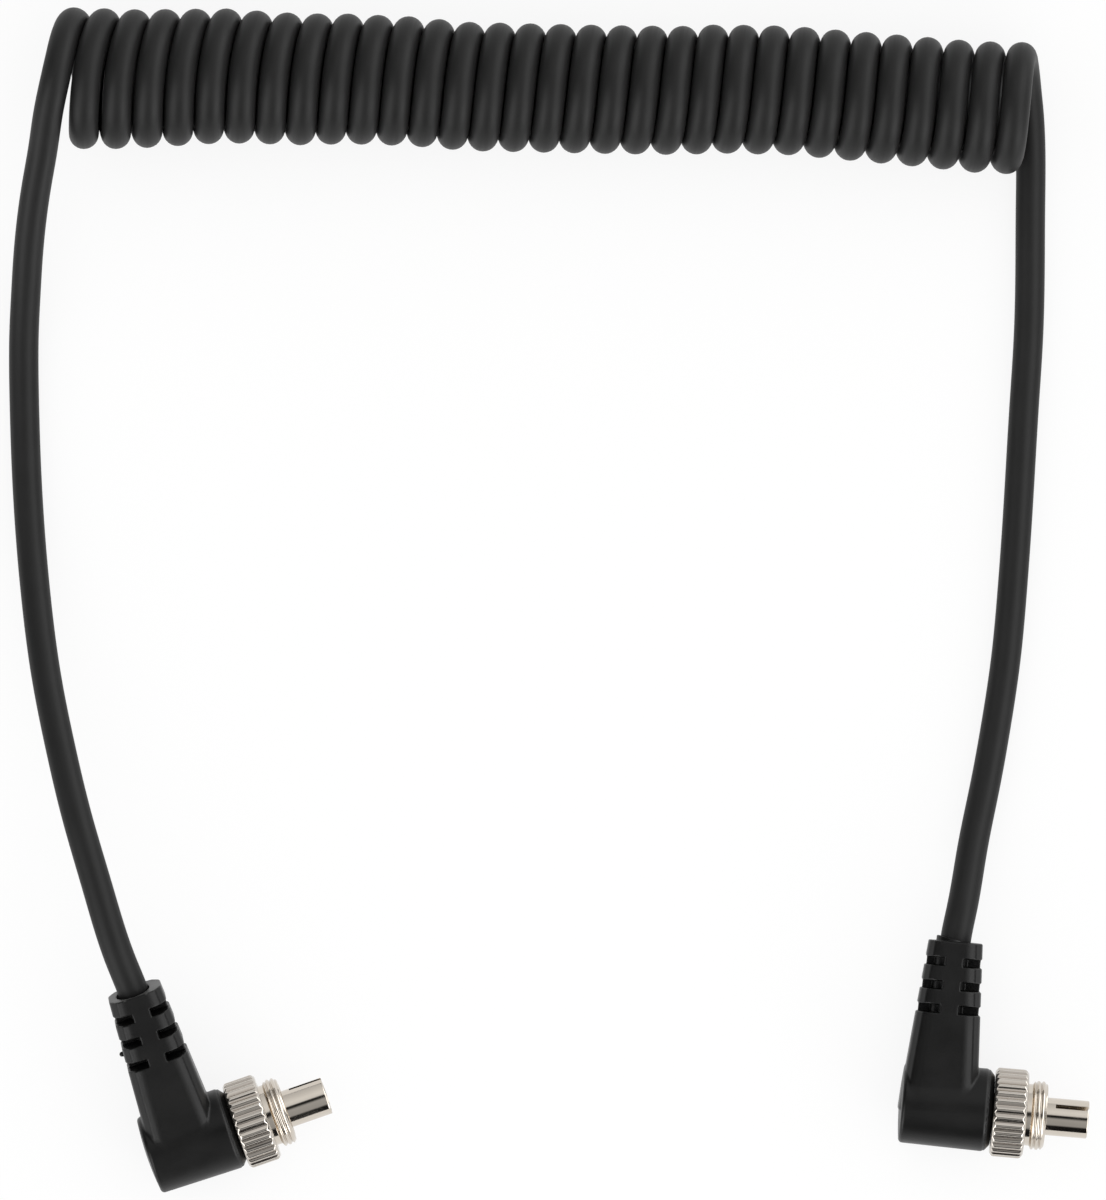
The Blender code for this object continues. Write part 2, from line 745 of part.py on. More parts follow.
for old in list(bpy.data.objects):
    bpy.data.objects.remove(old)
for plug_side in PLUGS:
    plug(plug_side)
cord()
bpy.context.view_layer.update()
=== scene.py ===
"""Looks of the coiled sync cord: finishes, fine shapes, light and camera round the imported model.

The frame's pieces keep their places. What shows of the plugs and the cord is rebuilt here as
finer surfaces, worked out with numpy in millimetres: each plug in its own frame, with x along
the contact tube, y up the neck against the cord and z away from the table.
"""

import json
import math

import bpy
import numpy as np
from mathutils import Matrix, Vector


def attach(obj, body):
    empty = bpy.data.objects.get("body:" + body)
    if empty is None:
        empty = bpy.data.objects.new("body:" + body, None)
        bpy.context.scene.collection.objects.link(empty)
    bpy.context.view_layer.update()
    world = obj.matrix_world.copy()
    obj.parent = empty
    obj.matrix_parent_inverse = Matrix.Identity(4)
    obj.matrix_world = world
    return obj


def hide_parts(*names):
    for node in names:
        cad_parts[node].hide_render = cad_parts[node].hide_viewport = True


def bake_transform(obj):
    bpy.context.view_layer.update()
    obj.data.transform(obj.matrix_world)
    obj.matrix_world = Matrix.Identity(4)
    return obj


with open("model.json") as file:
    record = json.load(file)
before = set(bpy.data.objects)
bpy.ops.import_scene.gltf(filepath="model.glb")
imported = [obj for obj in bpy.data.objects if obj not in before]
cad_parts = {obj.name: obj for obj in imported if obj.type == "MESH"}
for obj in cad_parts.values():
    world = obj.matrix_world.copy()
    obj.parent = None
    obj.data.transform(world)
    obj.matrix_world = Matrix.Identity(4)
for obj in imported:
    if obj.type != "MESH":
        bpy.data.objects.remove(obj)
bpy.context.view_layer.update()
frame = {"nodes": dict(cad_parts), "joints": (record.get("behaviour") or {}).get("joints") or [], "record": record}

MM = 0.001
SIDES = ("left", "right")
NECK_LIFT = {"left": 12.5, "right": 0.0}  # how far each plug is rolled on its ring, in degrees
SLEEVE_SLITS = {"left": 85.5, "right": 36.0}  # turn of the tube's two slits, in degrees

# Cord: the route is the frame's own
CORD_DIAMETER = 3.45
CORD_STEP = 0.62  # between the rings of the tube
CORD_SIDES = 28
COIL_TURNS = 31
COIL_START_X = -61.1
COIL_LENGTH = 109.75
COIL_RADIUS = 5.76
COIL_FLARE_LEFT = 0.75  # how much wider its left end is, and over how many turns
COIL_FLARE_LEFT_TURNS = 6.0
COIL_FLARE_RIGHT = 0.23
COIL_OPENING_RIGHT = 0.71  # how far its right end has moved out
COIL_OPENING_LEFT = 3.75  # how far, per turn, the cord runs off before its first top
COIL_OPENING_SOFTNESS = 0.08  # of a turn, over which that sets in
COIL_LEFT_RUN = 0.25  # turns before the first top
COIL_RIGHT_RUN = 0.25  # and after the last
COIL_POINTS = 20  # a turn
COIL_AXIS = [
    (-66.0, 114.86), (-54.4, 114.66), (-48.6, 114.86), (-43.4, 115.06), (-34.7, 114.66),
    (-28.9, 114.7), (-21.9, 114.44), (-15.0, 113.82), (-8.0, 113.67), (2.5, 113.45), (9.5, 113.36),
    (14.1, 113.55), (22.3, 113.36), (29.3, 112.75), (36.3, 112.15), (43.8, 111.45), (50.0, 111.25),
]
# How the turns have settled: turn, shift along x, how far the tops lead the bottoms, how far the
# crowns lag and the underside leads, and how far the underside has lifted
COIL_SETTLING = [
    (-0.25, -0.1, 0.34, 0.0, 0.8, 0.0), (0.0, -0.1, 0.34, 0.0, 0.8, 1.5),
    (0.25, -0.1, 0.34, 0.75, 0.8, 2.4), (0.5, -0.08, 0.32, 0.7, 0.4, 0.6),
    (0.75, -0.07, 0.3, 0.66, 0.0, 0.0), (1.25, 0.0, 0.24, 0.62, -0.35, 0.0),
    (2.25, 0.04, 0.18, 0.55, -0.3, 0.0), (5.0, 0.09, 0.14, 0.5, -0.25, 0.0),
    (7.5, 0.09, 0.12, 0.36, -0.2, 0.0), (9.0, 0.07, 0.11, 0.22, -0.12, 0.0),
    (14.0, 0.02, 0.1, 0.12, 0.0, 0.0), (20.0, 0.02, 0.09, -0.07, 0.0, 0.0),
    (26.0, -0.03, 0.03, -0.15, 0.0, 0.0), (29.0, -0.1, 0.0, -0.05, 0.0, 0.0),
    (31.25, -0.14, -0.03, 0.05, 0.0, 0.0),
]
LEFT_LEAD = [
    (-63.7, 110.74, 11.5), (-64.4, 106.6, 8.87), (-65.2, 102.4, 6.67), (-65.85, 98.3, 4.77),
    (-66.3, 94.2, 3.07), (-66.6, 90.0, 1.67), (-66.85, 85.2, 0.67), (-66.85, 78.0, 0.1),
    (-66.6, 69.9, 0.25), (-66.1, 61.8, 1.1), (-65.3, 53.6, 2.7), (-64.16, 45.5, 4.8),
    (-62.48, 37.3, 7.0), (-60.5, 29.2, 8.7), (-58.11, 21.0, 9.3),
]
RIGHT_LEAD = [
    (50.35, 99.6, 0.0), (50.3, 92.0, 0.0), (50.1, 84.5, 0.0), (49.65, 77.3, 0.0),
    (49.2, 69.8, 0.0), (48.75, 62.4, 0.0), (48.2, 54.9, 0.0), (47.5, 47.5, 0.0),
    (46.4, 40.0, 0.02), (45.08, 32.7, 0.22), (43.58, 25.4, 1.27),
]
CORD_STRAIGHT = 4.0
CORD_END = 7.0
# How far aside the cord is in the neck, and CORD_STRAIGHT above it
CORD_ASIDE = {"left": (-0.13, -0.13), "right": (-0.04, 0.48)}
CORD_SWELL = (0.05, 30.0)  # how much thicker it is in the plugs, and how far that reaches
CORD_SQUEEZE = (0.25, 12.0, 1.0)  # how much the neck squeezes it, from where, and how soon

# Housing
NECK_LENGTH = 19.3
# Its width and its thickness, on the plug's axis and at its top
NECK_WIDTHS = {"left": (8.64, 6.34), "right": (9.1, 6.28)}
NECK_DEPTHS = (9.1, 6.15)
# Where its flat faces start to fall, inwards from its sides, and how steeply: twice
NECK_FALLS = ((1.65, 0.36), (0.8, 1.43))
NECK_EDGE = 0.25
NECK_LEAN = {"left": (0.008, -1.3), "right": (0.0216, 15.5)}  # sideways, and from what height
NECK_FOOT = 0.6  # how far it goes into the barrel past the axis
BARREL_REAR = -4.85
BARREL_FRONT = 5.45
BARREL_RADII = (4.62, 4.84)  # at its rear and its front
BARREL_RISE = 0.12  # of its middle above the tube's axis
BARREL_DOME = 0.3
BARREL_ROUNDS = (0.4, 0.5)  # of its rear and its front edge
BARREL_BORE = 3.5
BORE_BACK = -3.9
COLLAR_RADII = (4.7, 4.05)  # at its back and its front
COLLAR_FRONT = 6.0
SLOT_CENTRES = (16.95, 14.2, 11.45)
SLOT_HEIGHT = 1.0
SPINE_WIDTH = 2.1
WEB_THICKNESS = 1.1
WEB_RECESS = 0.14
FERRULE_BORE = (2.675, 10.2)  # radius, and how far up the neck it goes
CORD_HOLES = ((1.3, 0.0), (1.7, 18.0))  # radius, and from how far up, in the neck
# The bead round the cord at the neck's top, highest on its left: centre, radius, height
LIP = {"left": None, "right": (-0.32, 1.95, 0.65)}
# The recess round the cord in the neck's end: centre, half widths across and through it, depth
RECESS = {"left": (-0.2, 2.0, 2.72, 0.8), "right": None}
MOULD_ROUND = 0.14
MOULD_FILLET = 0.22
NUB = {"left": ((-3.74, 12.66, 0.0), 0.3), "right": None}  # what is left of the gate
# How much painted reflection of the table the neck's end gets, as grey in its colour.
PAINTED_END_REFLECTION = {"left": 1.0, "right": 0.0}  # how grey the neck's end is
SKIN_STEP = {"left": 0.132, "right": 0.131}  # with these, no edge lies between four faces

# Contacts
TUBE_RADII = (2.2, 1.75)  # outer and inner
TUBE_ENDS = (-0.6, 17.2)
TUBE_EDGE = 0.13
FLANGE = (8.15, 8.75, 2.9)  # from, to and radius
SLIT_WIDTH = 0.56
SLIT_START = 13.3
TUBE_COLUMNS = 192
SLIT_COLUMNS = 3  # of the tube's columns, to each side of a slit's middle
SLIT_EASE = 1.2  # how far round, in radians, the columns make way for a slit
PIN_RADIUS = 0.5
PIN_TIP = 15.4
PIN_COLUMNS = 48
SOLDER_END = (-3.6, -1.4, 0.95)  # from, to and radius
INSULATOR = (0.2, 11.2, 0.8, 1.45)  # from, to, bore's and outer radius

# Lock ring
RING_RADIUS = 5.2
RING_BORE = 2.5
RIM_LENGTH = 3.9
LIP_THICKNESS = 1.8  # of the wall at the ring's back, which turns on the tube
KNURL_BAND = 0.6  # how far in from the rim the knurl's cutter can reach
RING_TEETH = 32
TOOTH_DEPTH = 0.235
TEETH_TURN = {"left": 0.29, "right": 0.0}  # of one tooth
THREAD_RADIUS = 4.02
THREAD_LENGTH = 1.73
THREAD_PITCH = 0.58
THREAD_CUT = 0.2
UNDERCUT_RADIUS = 3.6
UNDERCUT_DEPTH = 0.15  # into the rim's front face
RECESS_RADIUS = 3.2  # of the hollow inside the nose
RING_COLUMNS = 448
RING_ROWS = (0.075, 0.5)  # how far apart at most, outside and inside


# Mesh helpers


def grid_quads(rows, columns, rows_closed):
    """Quads between the points of a grid, row after row; the columns always close on themselves."""
    row, column = np.meshgrid(
        np.arange(rows if rows_closed else rows - 1), np.arange(columns), indexing="ij"
    )
    next_row, next_column = (row + 1) % rows, (column + 1) % columns
    corners = (
        row * columns + column,
        next_row * columns + column,
        next_row * columns + next_column,
        row * columns + next_column,
    )
    return np.stack(corners, axis=-1).reshape(-1, 4)


def place_in_world(points, place):
    """Points in millimetres of a plug's frame, as metres of the row frame."""
    turn = np.array(place.to_3x3())
    return points * MM @ turn.T + np.array(place.translation)


def new_piece(name, points, faces, finish):
    """A smooth-shaded mesh object at the origin, with its place in its points."""
    mesh = bpy.data.meshes.new(name)
    faces = faces.tolist() if isinstance(faces, np.ndarray) else faces
    mesh.from_pydata(points.tolist(), [], faces)
    mesh.validate()
    mesh.shade_smooth()
    mesh.materials.append(finish)
    made = bpy.data.objects.new(name, mesh)
    bpy.context.scene.collection.objects.link(made)
    return made


def give_uv(piece, values):
    """A UV map from one (u, v) pair for each point."""
    mesh = piece.data
    corner = np.zeros(len(mesh.loops), int)
    mesh.loops.foreach_get("vertex_index", corner)
    layer = mesh.uv_layers.new(name="surface")
    layer.data.foreach_set("uv", values[corner].astype(np.float32).ravel())


def give_value(piece, name, values):
    """A number for each point, that materials read by name."""
    layer = piece.data.attributes.new(name, "FLOAT", "POINT")
    layer.data.foreach_set("value", values.astype(np.float32).ravel())


def plug_place(side):
    """The plug's frame, from the axis that its lock ring turns on."""
    joint = next(j for j in frame["joints"] if j["child"] == side + "_ring")
    along = Vector(joint["axis"]).normalized()
    up = Vector((0.0, 0.0, 1.0))
    turn = Matrix((along, up.cross(along), up)).transposed().to_4x4()
    lift = Matrix.Rotation(math.radians(NECK_LIFT[side]), 4, "X")
    return Matrix.Translation(joint["pos_m"]) @ turn @ lift


def node_span(node, side, axis=0):
    """From where to where a CAD node reaches along an axis of its plug, in millimetres."""
    back = plug_place(side).inverted()
    places = [(back @ v.co)[axis] / MM for v in frame["nodes"][node].data.vertices]
    return min(places), max(places)


# Cord


def smooth_curve(route, spacing):
    """Points at an even spacing on the natural cubic spline through a route."""
    route = np.array(route, float)
    t = np.concatenate([[0.0], np.cumsum(np.linalg.norm(np.diff(route, axis=0), axis=1))])
    h = np.diff(t)
    count = len(route)
    inner = np.arange(1, count - 1)
    system = np.eye(count)
    system[inner, inner - 1] = h[:-1]
    system[inner, inner] = 2 * (h[:-1] + h[1:])
    system[inner, inner + 1] = h[1:]
    slope = np.diff(route, axis=0) / h[:, None]
    right = np.zeros_like(route)
    right[inner] = 6 * np.diff(slope, axis=0)
    bend = np.linalg.solve(system, right)
    fine = np.linspace(0.0, t[-1], 40 * count)
    k = np.clip(np.searchsorted(t, fine, side="right") - 1, 0, count - 2)
    a, b, w = (t[k + 1] - fine)[:, None], (fine - t[k])[:, None], h[k][:, None]
    line = (bend[k] * a**3 + bend[k + 1] * b**3) / (6 * w)
    line += (route[k] / w - bend[k] * w / 6) * a + (route[k + 1] / w - bend[k + 1] * w / 6) * b
    run = np.concatenate([[0.0], np.cumsum(np.linalg.norm(np.diff(line, axis=0), axis=1))])
    even = np.linspace(0.0, run[-1], round(run[-1] / spacing) + 1)
    return np.stack([np.interp(even, run, line[:, i]) for i in range(3)], axis=1)


def coil_points(turn):
    """The cord's centre line in the coil, turns counted from the first top.

    A left-handed helix along x: y and z go round the coil's axis at its radius, which flares at
    both ends, and its lowest point lies one cord radius above the table. The turns have settled
    a little: with c and s the cosine and sine of tau * turn, x also gets shift + caps * c +
    crowns * (s - s^2) / 2 + under * (s + s^2) / 2, and z gets lifted * (s + s^2) / 2.
    """
    share = turn / COIL_TURNS
    wound = np.maximum(turn, 0.0)
    before = np.minimum(turn, 0.0)
    x = COIL_START_X + COIL_LENGTH * share + COIL_OPENING_RIGHT * np.maximum(share, 0.0) ** 8
    x -= COIL_OPENING_LEFT * before**2 / (COIL_OPENING_SOFTNESS - before)
    settled_turn, *settled = np.array(COIL_SETTLING).T
    shift, caps, crowns, under, lifted = (np.interp(turn, settled_turn, v) for v in settled)
    s = np.sin(math.tau * turn)
    x += shift + caps * np.cos(math.tau * turn) + crowns * (s - s**2) / 2 + under * (s + s**2) / 2
    radius = COIL_RADIUS + COIL_FLARE_LEFT * np.exp(-((wound / COIL_FLARE_LEFT_TURNS) ** 1.5))
    radius += COIL_FLARE_RIGHT * (wound / COIL_TURNS) ** 6
    axis_x, axis_y = np.array(COIL_AXIS).T
    y = np.interp(x, axis_x, axis_y) + radius * np.cos(math.tau * turn)
    z = radius + CORD_DIAMETER / 2 - radius * s + lifted * (s + s**2) / 2
    return np.stack([x, y, z], axis=1)


def lead_points(side):
    """A lead's route from near the coil's end into its plug."""
    lead = {"left": LEFT_LEAD, "right": RIGHT_LEAD}[side]
    free = [(x, y, air + CORD_DIAMETER / 2) for x, y, air in lead]
    heights = np.linspace(NECK_LENGTH, CORD_END, 7)
    within = CORD_ASIDE[side][0] + leant(side, heights)
    straight = [(CORD_ASIDE[side][1], NECK_LENGTH + CORD_STRAIGHT), *zip(within, heights)]
    place = plug_place(side)
    inside = [np.array(place @ Vector((x * MM, y * MM, 0.0))) / MM for x, y in straight]
    return np.array([*free, *inside])


def cord_route():
    """The whole cord's centre line from the left plug to the right one, and where the coil is."""
    turns = np.linspace(
        -COIL_LEFT_RUN,
        COIL_TURNS + COIL_RIGHT_RUN,
        round(COIL_POINTS * (COIL_TURNS + COIL_LEFT_RUN + COIL_RIGHT_RUN)) + 1,
    )
    wound = coil_points(turns)
    route = [lead_points("left")[::-1], wound, lead_points("right")]
    line = smooth_curve(np.concatenate(route), CORD_STEP)
    ends = [np.linalg.norm(line - point, axis=1).argmin() for point in (wound[0], wound[-1])]
    return line, ends


def cord_tube(line):
    """Rings round the line: centre + radius * (cos u * side + sin u * over).

    side is the x axis made square to the line, which the cord never runs along, and over is
    square to both. The radius swells by exp(-(distance / reach)^2) towards both plugs, is
    squeezed inside their necks, and the two ends are closed by a face each.
    """
    ahead = np.gradient(line, axis=0)
    ahead /= np.linalg.norm(ahead, axis=1, keepdims=True)
    side = np.array([1.0, 0.0, 0.0]) - ahead[:, :1] * ahead
    side /= np.linalg.norm(side, axis=1, keepdims=True)
    over = np.cross(ahead, side)
    angle = np.linspace(0.0, math.tau, CORD_SIDES, endpoint=False)
    across = side[:, None] * np.cos(angle)[:, None] + over[:, None] * np.sin(angle)[:, None]
    from_end = np.minimum(np.arange(len(line)), np.arange(len(line))[::-1]) * CORD_STEP
    squeeze, depth, length = CORD_SQUEEZE
    radius = 1 + CORD_SWELL[0] * np.exp(-((from_end / CORD_SWELL[1]) ** 2))
    radius -= squeeze * np.clip((depth - from_end) / length, 0.0, 1.0)
    radius *= CORD_DIAMETER / 2
    points = (line[:, None] + across * radius[:, None, None]).reshape(-1, 3)
    faces = grid_quads(len(line), CORD_SIDES, rows_closed=False)[:, ::-1].tolist()
    last = (len(line) - 1) * CORD_SIDES
    faces.append(list(range(CORD_SIDES))[::-1])
    faces.append(list(range(last, last + CORD_SIDES)))
    return points, faces


def make_cord(finish):
    """One unbroken cord from plug to plug, in place of the coil's and the leads' solids."""
    line, coil_ends = cord_route()
    points, faces = cord_tube(line)
    cord = new_piece("coiled_cord", points * MM, faces, finish)
    run = np.concatenate([[0.0], np.cumsum(np.linalg.norm(np.diff(line, axis=0), axis=1))])
    around = np.tile(np.arange(CORD_SIDES) / CORD_SIDES, len(line))
    give_uv(cord, np.stack([around, np.repeat(run, CORD_SIDES) / 10], axis=1))
    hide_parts("cord_coil", "cord_left_lead", "cord_right_lead")
    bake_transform(cord)
    return cord


# Housing


def rounded_both(a, b, r):
    """Where both fields are inside, with the edge between them rounded by r."""
    inner = np.minimum(np.maximum(a + r, b + r), 0.0)
    return inner + np.hypot(np.maximum(a + r, 0.0), np.maximum(b + r, 0.0)) - r


def filleted(a, b, r):
    """Where either field is inside, with a fillet of radius r in the corner between them."""
    outer = np.maximum(np.minimum(a, b), r)
    return outer - np.hypot(np.maximum(r - a, 0.0), np.maximum(r - b, 0.0))


def neck_half(sizes, y):
    """Half a neck size at height y, which changes evenly up the neck."""
    base, top = sizes
    return (base + (top - base) * y / NECK_LENGTH) / 2


def leant(side, y):
    """How far aside the neck's middle is at height y."""
    lean, pivot = NECK_LEAN[side]
    return lean * (y - pivot)


def barrel_field(x, y, z):
    """Distance to the barrel: a tapered cylinder along x with a domed rear and a cone in front."""
    rho = np.hypot(y - BARREL_RISE, z)
    along = np.clip((x - BARREL_REAR) / (BARREL_FRONT - BARREL_REAR), 0.0, 1.0)
    side = rho - BARREL_RADII[0] - (BARREL_RADII[1] - BARREL_RADII[0]) * along
    rear = BARREL_REAR - x + BARREL_DOME * (rho / BARREL_RADII[0]) ** 2
    body = rounded_both(side, rear, BARREL_ROUNDS[0])
    body = rounded_both(body, x - BARREL_FRONT, BARREL_ROUNDS[1])
    lean = (COLLAR_RADII[0] - COLLAR_RADII[1]) / (COLLAR_FRONT - BARREL_FRONT)
    cone = (rho - COLLAR_RADII[0] + lean * (x - BARREL_FRONT)) / math.hypot(1.0, lean)
    cone = np.maximum(np.maximum(cone, rho - COLLAR_RADII[0]), BARREL_FRONT - 1.0 - x)
    return np.minimum(body, rounded_both(cone, x - COLLAR_FRONT, MOULD_ROUND / 2))


def neck_field(side, x, y, z):
    """Distance to the neck: a rectangle that narrows upwards.

    Its flat faces fall away towards its sides in two steps, and all its edges are rounded.
    """
    flank = np.abs(x) - neck_half(NECK_WIDTHS[side], y)
    body = np.abs(z) - neck_half(NECK_DEPTHS, y)
    edge = body
    for (start, slope), (_, before) in zip(NECK_FALLS, ((0.0, 0.0), NECK_FALLS[0])):
        edge = edge + (slope - before) * (flank + start)
        body = rounded_both(body, edge / math.hypot(1.0, slope), NECK_EDGE / 2)
    body = rounded_both(body, flank, NECK_EDGE)
    foot = rounded_both(body, -y - NECK_FOOT, MOULD_FILLET)
    return rounded_both(foot, y - NECK_LENGTH, MOULD_ROUND)


def slot_field(side, x, y, z, centre):
    """Distance to one slot: a slab across the neck, less the spine and the web."""
    top = centre + SLOT_HEIGHT / 2
    half_web = neck_half(NECK_WIDTHS[side], top) - WEB_RECESS
    slab = np.abs(y - centre) - SLOT_HEIGHT / 2
    spine = np.abs(x) - SPINE_WIDTH / 2
    web = rounded_both(np.abs(z) - WEB_THICKNESS / 2, np.abs(x) - half_web, MOULD_ROUND)
    solid = filleted(spine, web, MOULD_ROUND)
    return rounded_both(slab, -solid, MOULD_ROUND)


def hollow_field(x, y, z):
    """Distance to the space inside the neck: the crimp's bore and the cord's hole."""
    rho = np.hypot(x, z)
    crimp = np.maximum(rho - FERRULE_BORE[0], np.abs(y - FERRULE_BORE[1] / 2) - FERRULE_BORE[1] / 2)
    holes = [np.maximum(rho - radius, start - y) for radius, start in CORD_HOLES]
    return np.minimum(crimp, np.minimum(*holes))


def housing_field(side):
    """Distance to the moulded housing, negative inside it."""

    def field(x, y, z):
        barrel = barrel_field(x, y, z)
        bore = np.maximum(np.hypot(y, z) - BARREL_BORE, BORE_BACK - x)
        x = x - leant(side, y)
        body = filleted(barrel, neck_field(side, x, y, z), MOULD_FILLET)
        for centre in SLOT_CENTRES:
            body = rounded_both(body, -slot_field(side, x, y, z, centre), MOULD_ROUND)
        if LIP[side]:
            middle, radius, height = LIP[side]
            bead = np.maximum(np.hypot(x - middle, z) - radius, -y)
            slope = height / (2 * radius)
            top = (y - NECK_LENGTH + slope * (x - middle - radius)) / math.hypot(1.0, slope)
            bead = rounded_both(bead, top, MOULD_ROUND)
            body = filleted(body, bead, MOULD_ROUND)
        if RECESS[side]:
            middle, half_x, half_z, depth = RECESS[side]
            recess = (np.hypot((x - middle) / half_x, z / half_z) - 1) * half_x
            recess = rounded_both(recess, NECK_LENGTH - depth - y, MOULD_ROUND)
            body = rounded_both(body, -recess, MOULD_ROUND / 2)
        if NUB[side]:
            (nx, ny, nz), radius = NUB[side]
            ball = np.sqrt((x - nx) ** 2 + (y - ny) ** 2 + (z - nz) ** 2) - radius
            body = filleted(body, ball, MOULD_ROUND)
        return rounded_both(body, -np.minimum(bore, hollow_field(x, y, z)), MOULD_ROUND / 2)

    return field


def field_slope(field, points):
    """The field's gradient at points, by differences over a small step."""
    step = 0.01
    slope = np.zeros_like(points)
    for axis in range(3):
        off = np.zeros(3)
        off[axis] = step
        slope[:, axis] = field(*(points + off).T) - field(*(points - off).T)
    return slope / (2 * step)


def skin_of(field, low, high, step):
    """The zero surface of a field, as one point in each grid cell that it crosses.

    A cell's point is the mean of the crossings on its twelve edges, found by a straight line
    between the corner values, and each crossed grid edge gets a quad between its four cells.
    Three Newton steps, p - f(p) * slope / |slope|^2, then put the points on the surface.
    """
    axes = [np.arange(a, b + step, step) for a, b in zip(low, high)]
    grid = np.stack(np.meshgrid(*axes, indexing="ij"), axis=-1)
    value = field(grid[..., 0], grid[..., 1], grid[..., 2])
    cells = tuple(n - 1 for n in value.shape)
    total = np.zeros((*cells, 3))
    count = np.zeros(cells)
    number = np.arange(np.prod(cells)).reshape(cells)
    quads = []
    for axis in range(3):
        others = [a for a in range(3) if a != axis]
        near = np.take(value, range(value.shape[axis] - 1), axis=axis)
        far = np.take(value, range(1, value.shape[axis]), axis=axis)
        crossed = (near < 0) != (far < 0)
        share = np.where(crossed, near / np.where(crossed, near - far, 1.0), 0.0)
        place = np.take(grid, range(value.shape[axis] - 1), axis=axis).copy()
        place[..., axis] += share * step
        for first in (0, 1):
            for second in (0, 1):
                window = [slice(None)] * 3
                window[others[0]] = slice(first, first + cells[others[0]])
                window[others[1]] = slice(second, second + cells[others[1]])
                hit = crossed[tuple(window)]
                total += place[tuple(window)] * hit[..., None]
                count += hit
        inner = [slice(None)] * 3
        inner[others[0]] = slice(1, -1)
        inner[others[1]] = slice(1, -1)
        at = np.argwhere(crossed[tuple(inner)])
        inward = near[tuple(inner)][tuple(at.T)] < 0
        around = []
        for first, second in ((0, 0), (1, 0), (1, 1), (0, 1)):
            cell = at.copy()
            cell[:, others[0]] += first
            cell[:, others[1]] += second
            around.append(number[tuple(cell.T)])
        ring = np.stack(around, axis=1)
        flip = inward if axis == 1 else ~inward
        quads.append(np.where(flip[:, None], ring[:, ::-1], ring))
    quads = np.concatenate(quads)
    used, faces = np.unique(quads, return_inverse=True)
    points = total.reshape(-1, 3)[used] / count.reshape(-1, 1)[used]
    for _ in range(3):
        slope = field_slope(field, points)
        size = np.maximum((slope**2).sum(axis=1), 0.1)
        move = field(*points.T)[:, None] * slope / size[:, None]
        points -= np.clip(move, -step / 2, step / 2)
    return points, faces.reshape(-1, 4), field_slope(field, points)


def make_housing(side, finish):
    """The moulded housing's skin, with its normals taken from the field itself."""
    field = housing_field(side)
    step = SKIN_STEP[side]
    reach = BARREL_RADII[1] + BARREL_RISE + 2 * step
    low = (BARREL_REAR - 2 * step, -reach, -reach)
    high = (COLLAR_FRONT + 2 * step, NECK_LENGTH + 1.0, reach)
    points, quads, slope = skin_of(field, low, high, step)
    place = plug_place(side)
    world = place_in_world(points, place)
    piece = new_piece(side + "_moulded_housing", world, quads, finish)
    normals = slope / np.linalg.norm(slope, axis=1, keepdims=True)
    normals = normals @ np.array(place.to_3x3()).T
    piece.data.normals_split_custom_set_from_vertices(normals.tolist())
    # The neck's upward end face gets a painted reflection: its finish greys it.
    end = (points[:, 1] > NECK_LENGTH - 0.1) & (slope[:, 1] > 0.8)
    give_value(piece, "painted_end_reflection", end * PAINTED_END_REFLECTION[side])
    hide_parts(side + "_elbow_housing")
    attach(piece, side + "_end")
    return piece


# Turned pieces


def rounded_profile(corners, steps=5):
    """A closed profile of (x, radius, rounding) corners, each rounded by a parabola's arc.

    The arc runs from the rounding's distance before the corner c to as far after it:
    (1-t)^2 * start + 2t(1-t) * c + t^2 * end.
    """
    place = np.array([corner[:2] for corner in corners], float)
    size = np.array([corner[2] for corner in corners], float)
    t = np.linspace(0.0, 1.0, steps)[:, None]
    points = []
    for c, before, after, r in zip(place, np.roll(place, 1, 0), np.roll(place, -1, 0), size):
        if r == 0.0:
            points.append(c[None])
            continue
        start = c + (before - c) / np.linalg.norm(before - c) * r
        end = c + (after - c) / np.linalg.norm(after - c) * r
        points.append((1 - t) ** 2 * start + 2 * t * (1 - t) * c + t**2 * end)
    return np.concatenate(points)


def divided(profile, longest):
    """The closed profile with its long stretches cut into equal parts.

    longest is one length for all stretches or a list of one for each.
    """
    pieces = []
    limits = np.broadcast_to(longest, len(profile))
    for start, end, limit in zip(profile, np.roll(profile, -1, 0), limits):
        parts = max(1, math.ceil(np.linalg.norm(end - start) / limit))
        pieces.append(start + (end - start) * np.arange(parts)[:, None] / parts)
    return np.concatenate(pieces)


def turned(profile, columns, reshape=None):
    """A closed (x, radius) profile carried round the x axis: (x, r sin u, r cos u).

    reshape(x, r, u), if given, says the radius at each point, such as a knurl's or a thread's.
    """
    angle = np.linspace(0.0, math.tau, columns, endpoint=False)
    x, radius = (np.repeat(profile[:, i : i + 1], columns, axis=1) for i in range(2))
    around = np.repeat(angle[None], len(profile), axis=0)
    if reshape:
        radius = reshape(x, radius, around)
    points = np.stack([x, radius * np.sin(around), radius * np.cos(around)], axis=-1)
    return points.reshape(-1, 3), grid_quads(len(profile), columns, rows_closed=True)


def profile_uv(profile, columns):
    """u once round the piece, v along its profile in centimetres."""
    run = np.concatenate([[0.0], np.cumsum(np.linalg.norm(np.diff(profile, axis=0), axis=1))])
    around = np.tile(np.arange(columns) / columns, len(profile))
    return np.stack([around, np.repeat(run, columns) / 10], axis=1)


def make_turned(name, node, body, side, profile, columns, finish):
    """A turned piece from its closed profile, in place of its node."""
    points, quads = turned(profile, columns)
    piece = new_piece(name, place_in_world(points, plug_place(side)), quads, finish)
    give_uv(piece, profile_uv(profile, columns))
    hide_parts(node)
    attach(piece, body)
    return piece


def soft_least(a, b, k):
    """The smaller of two numbers, with the change from one to the other softened over k."""
    h = np.maximum(k - np.abs(a - b), 0.0) / k
    return np.minimum(a, b) - h**2 * k / 4


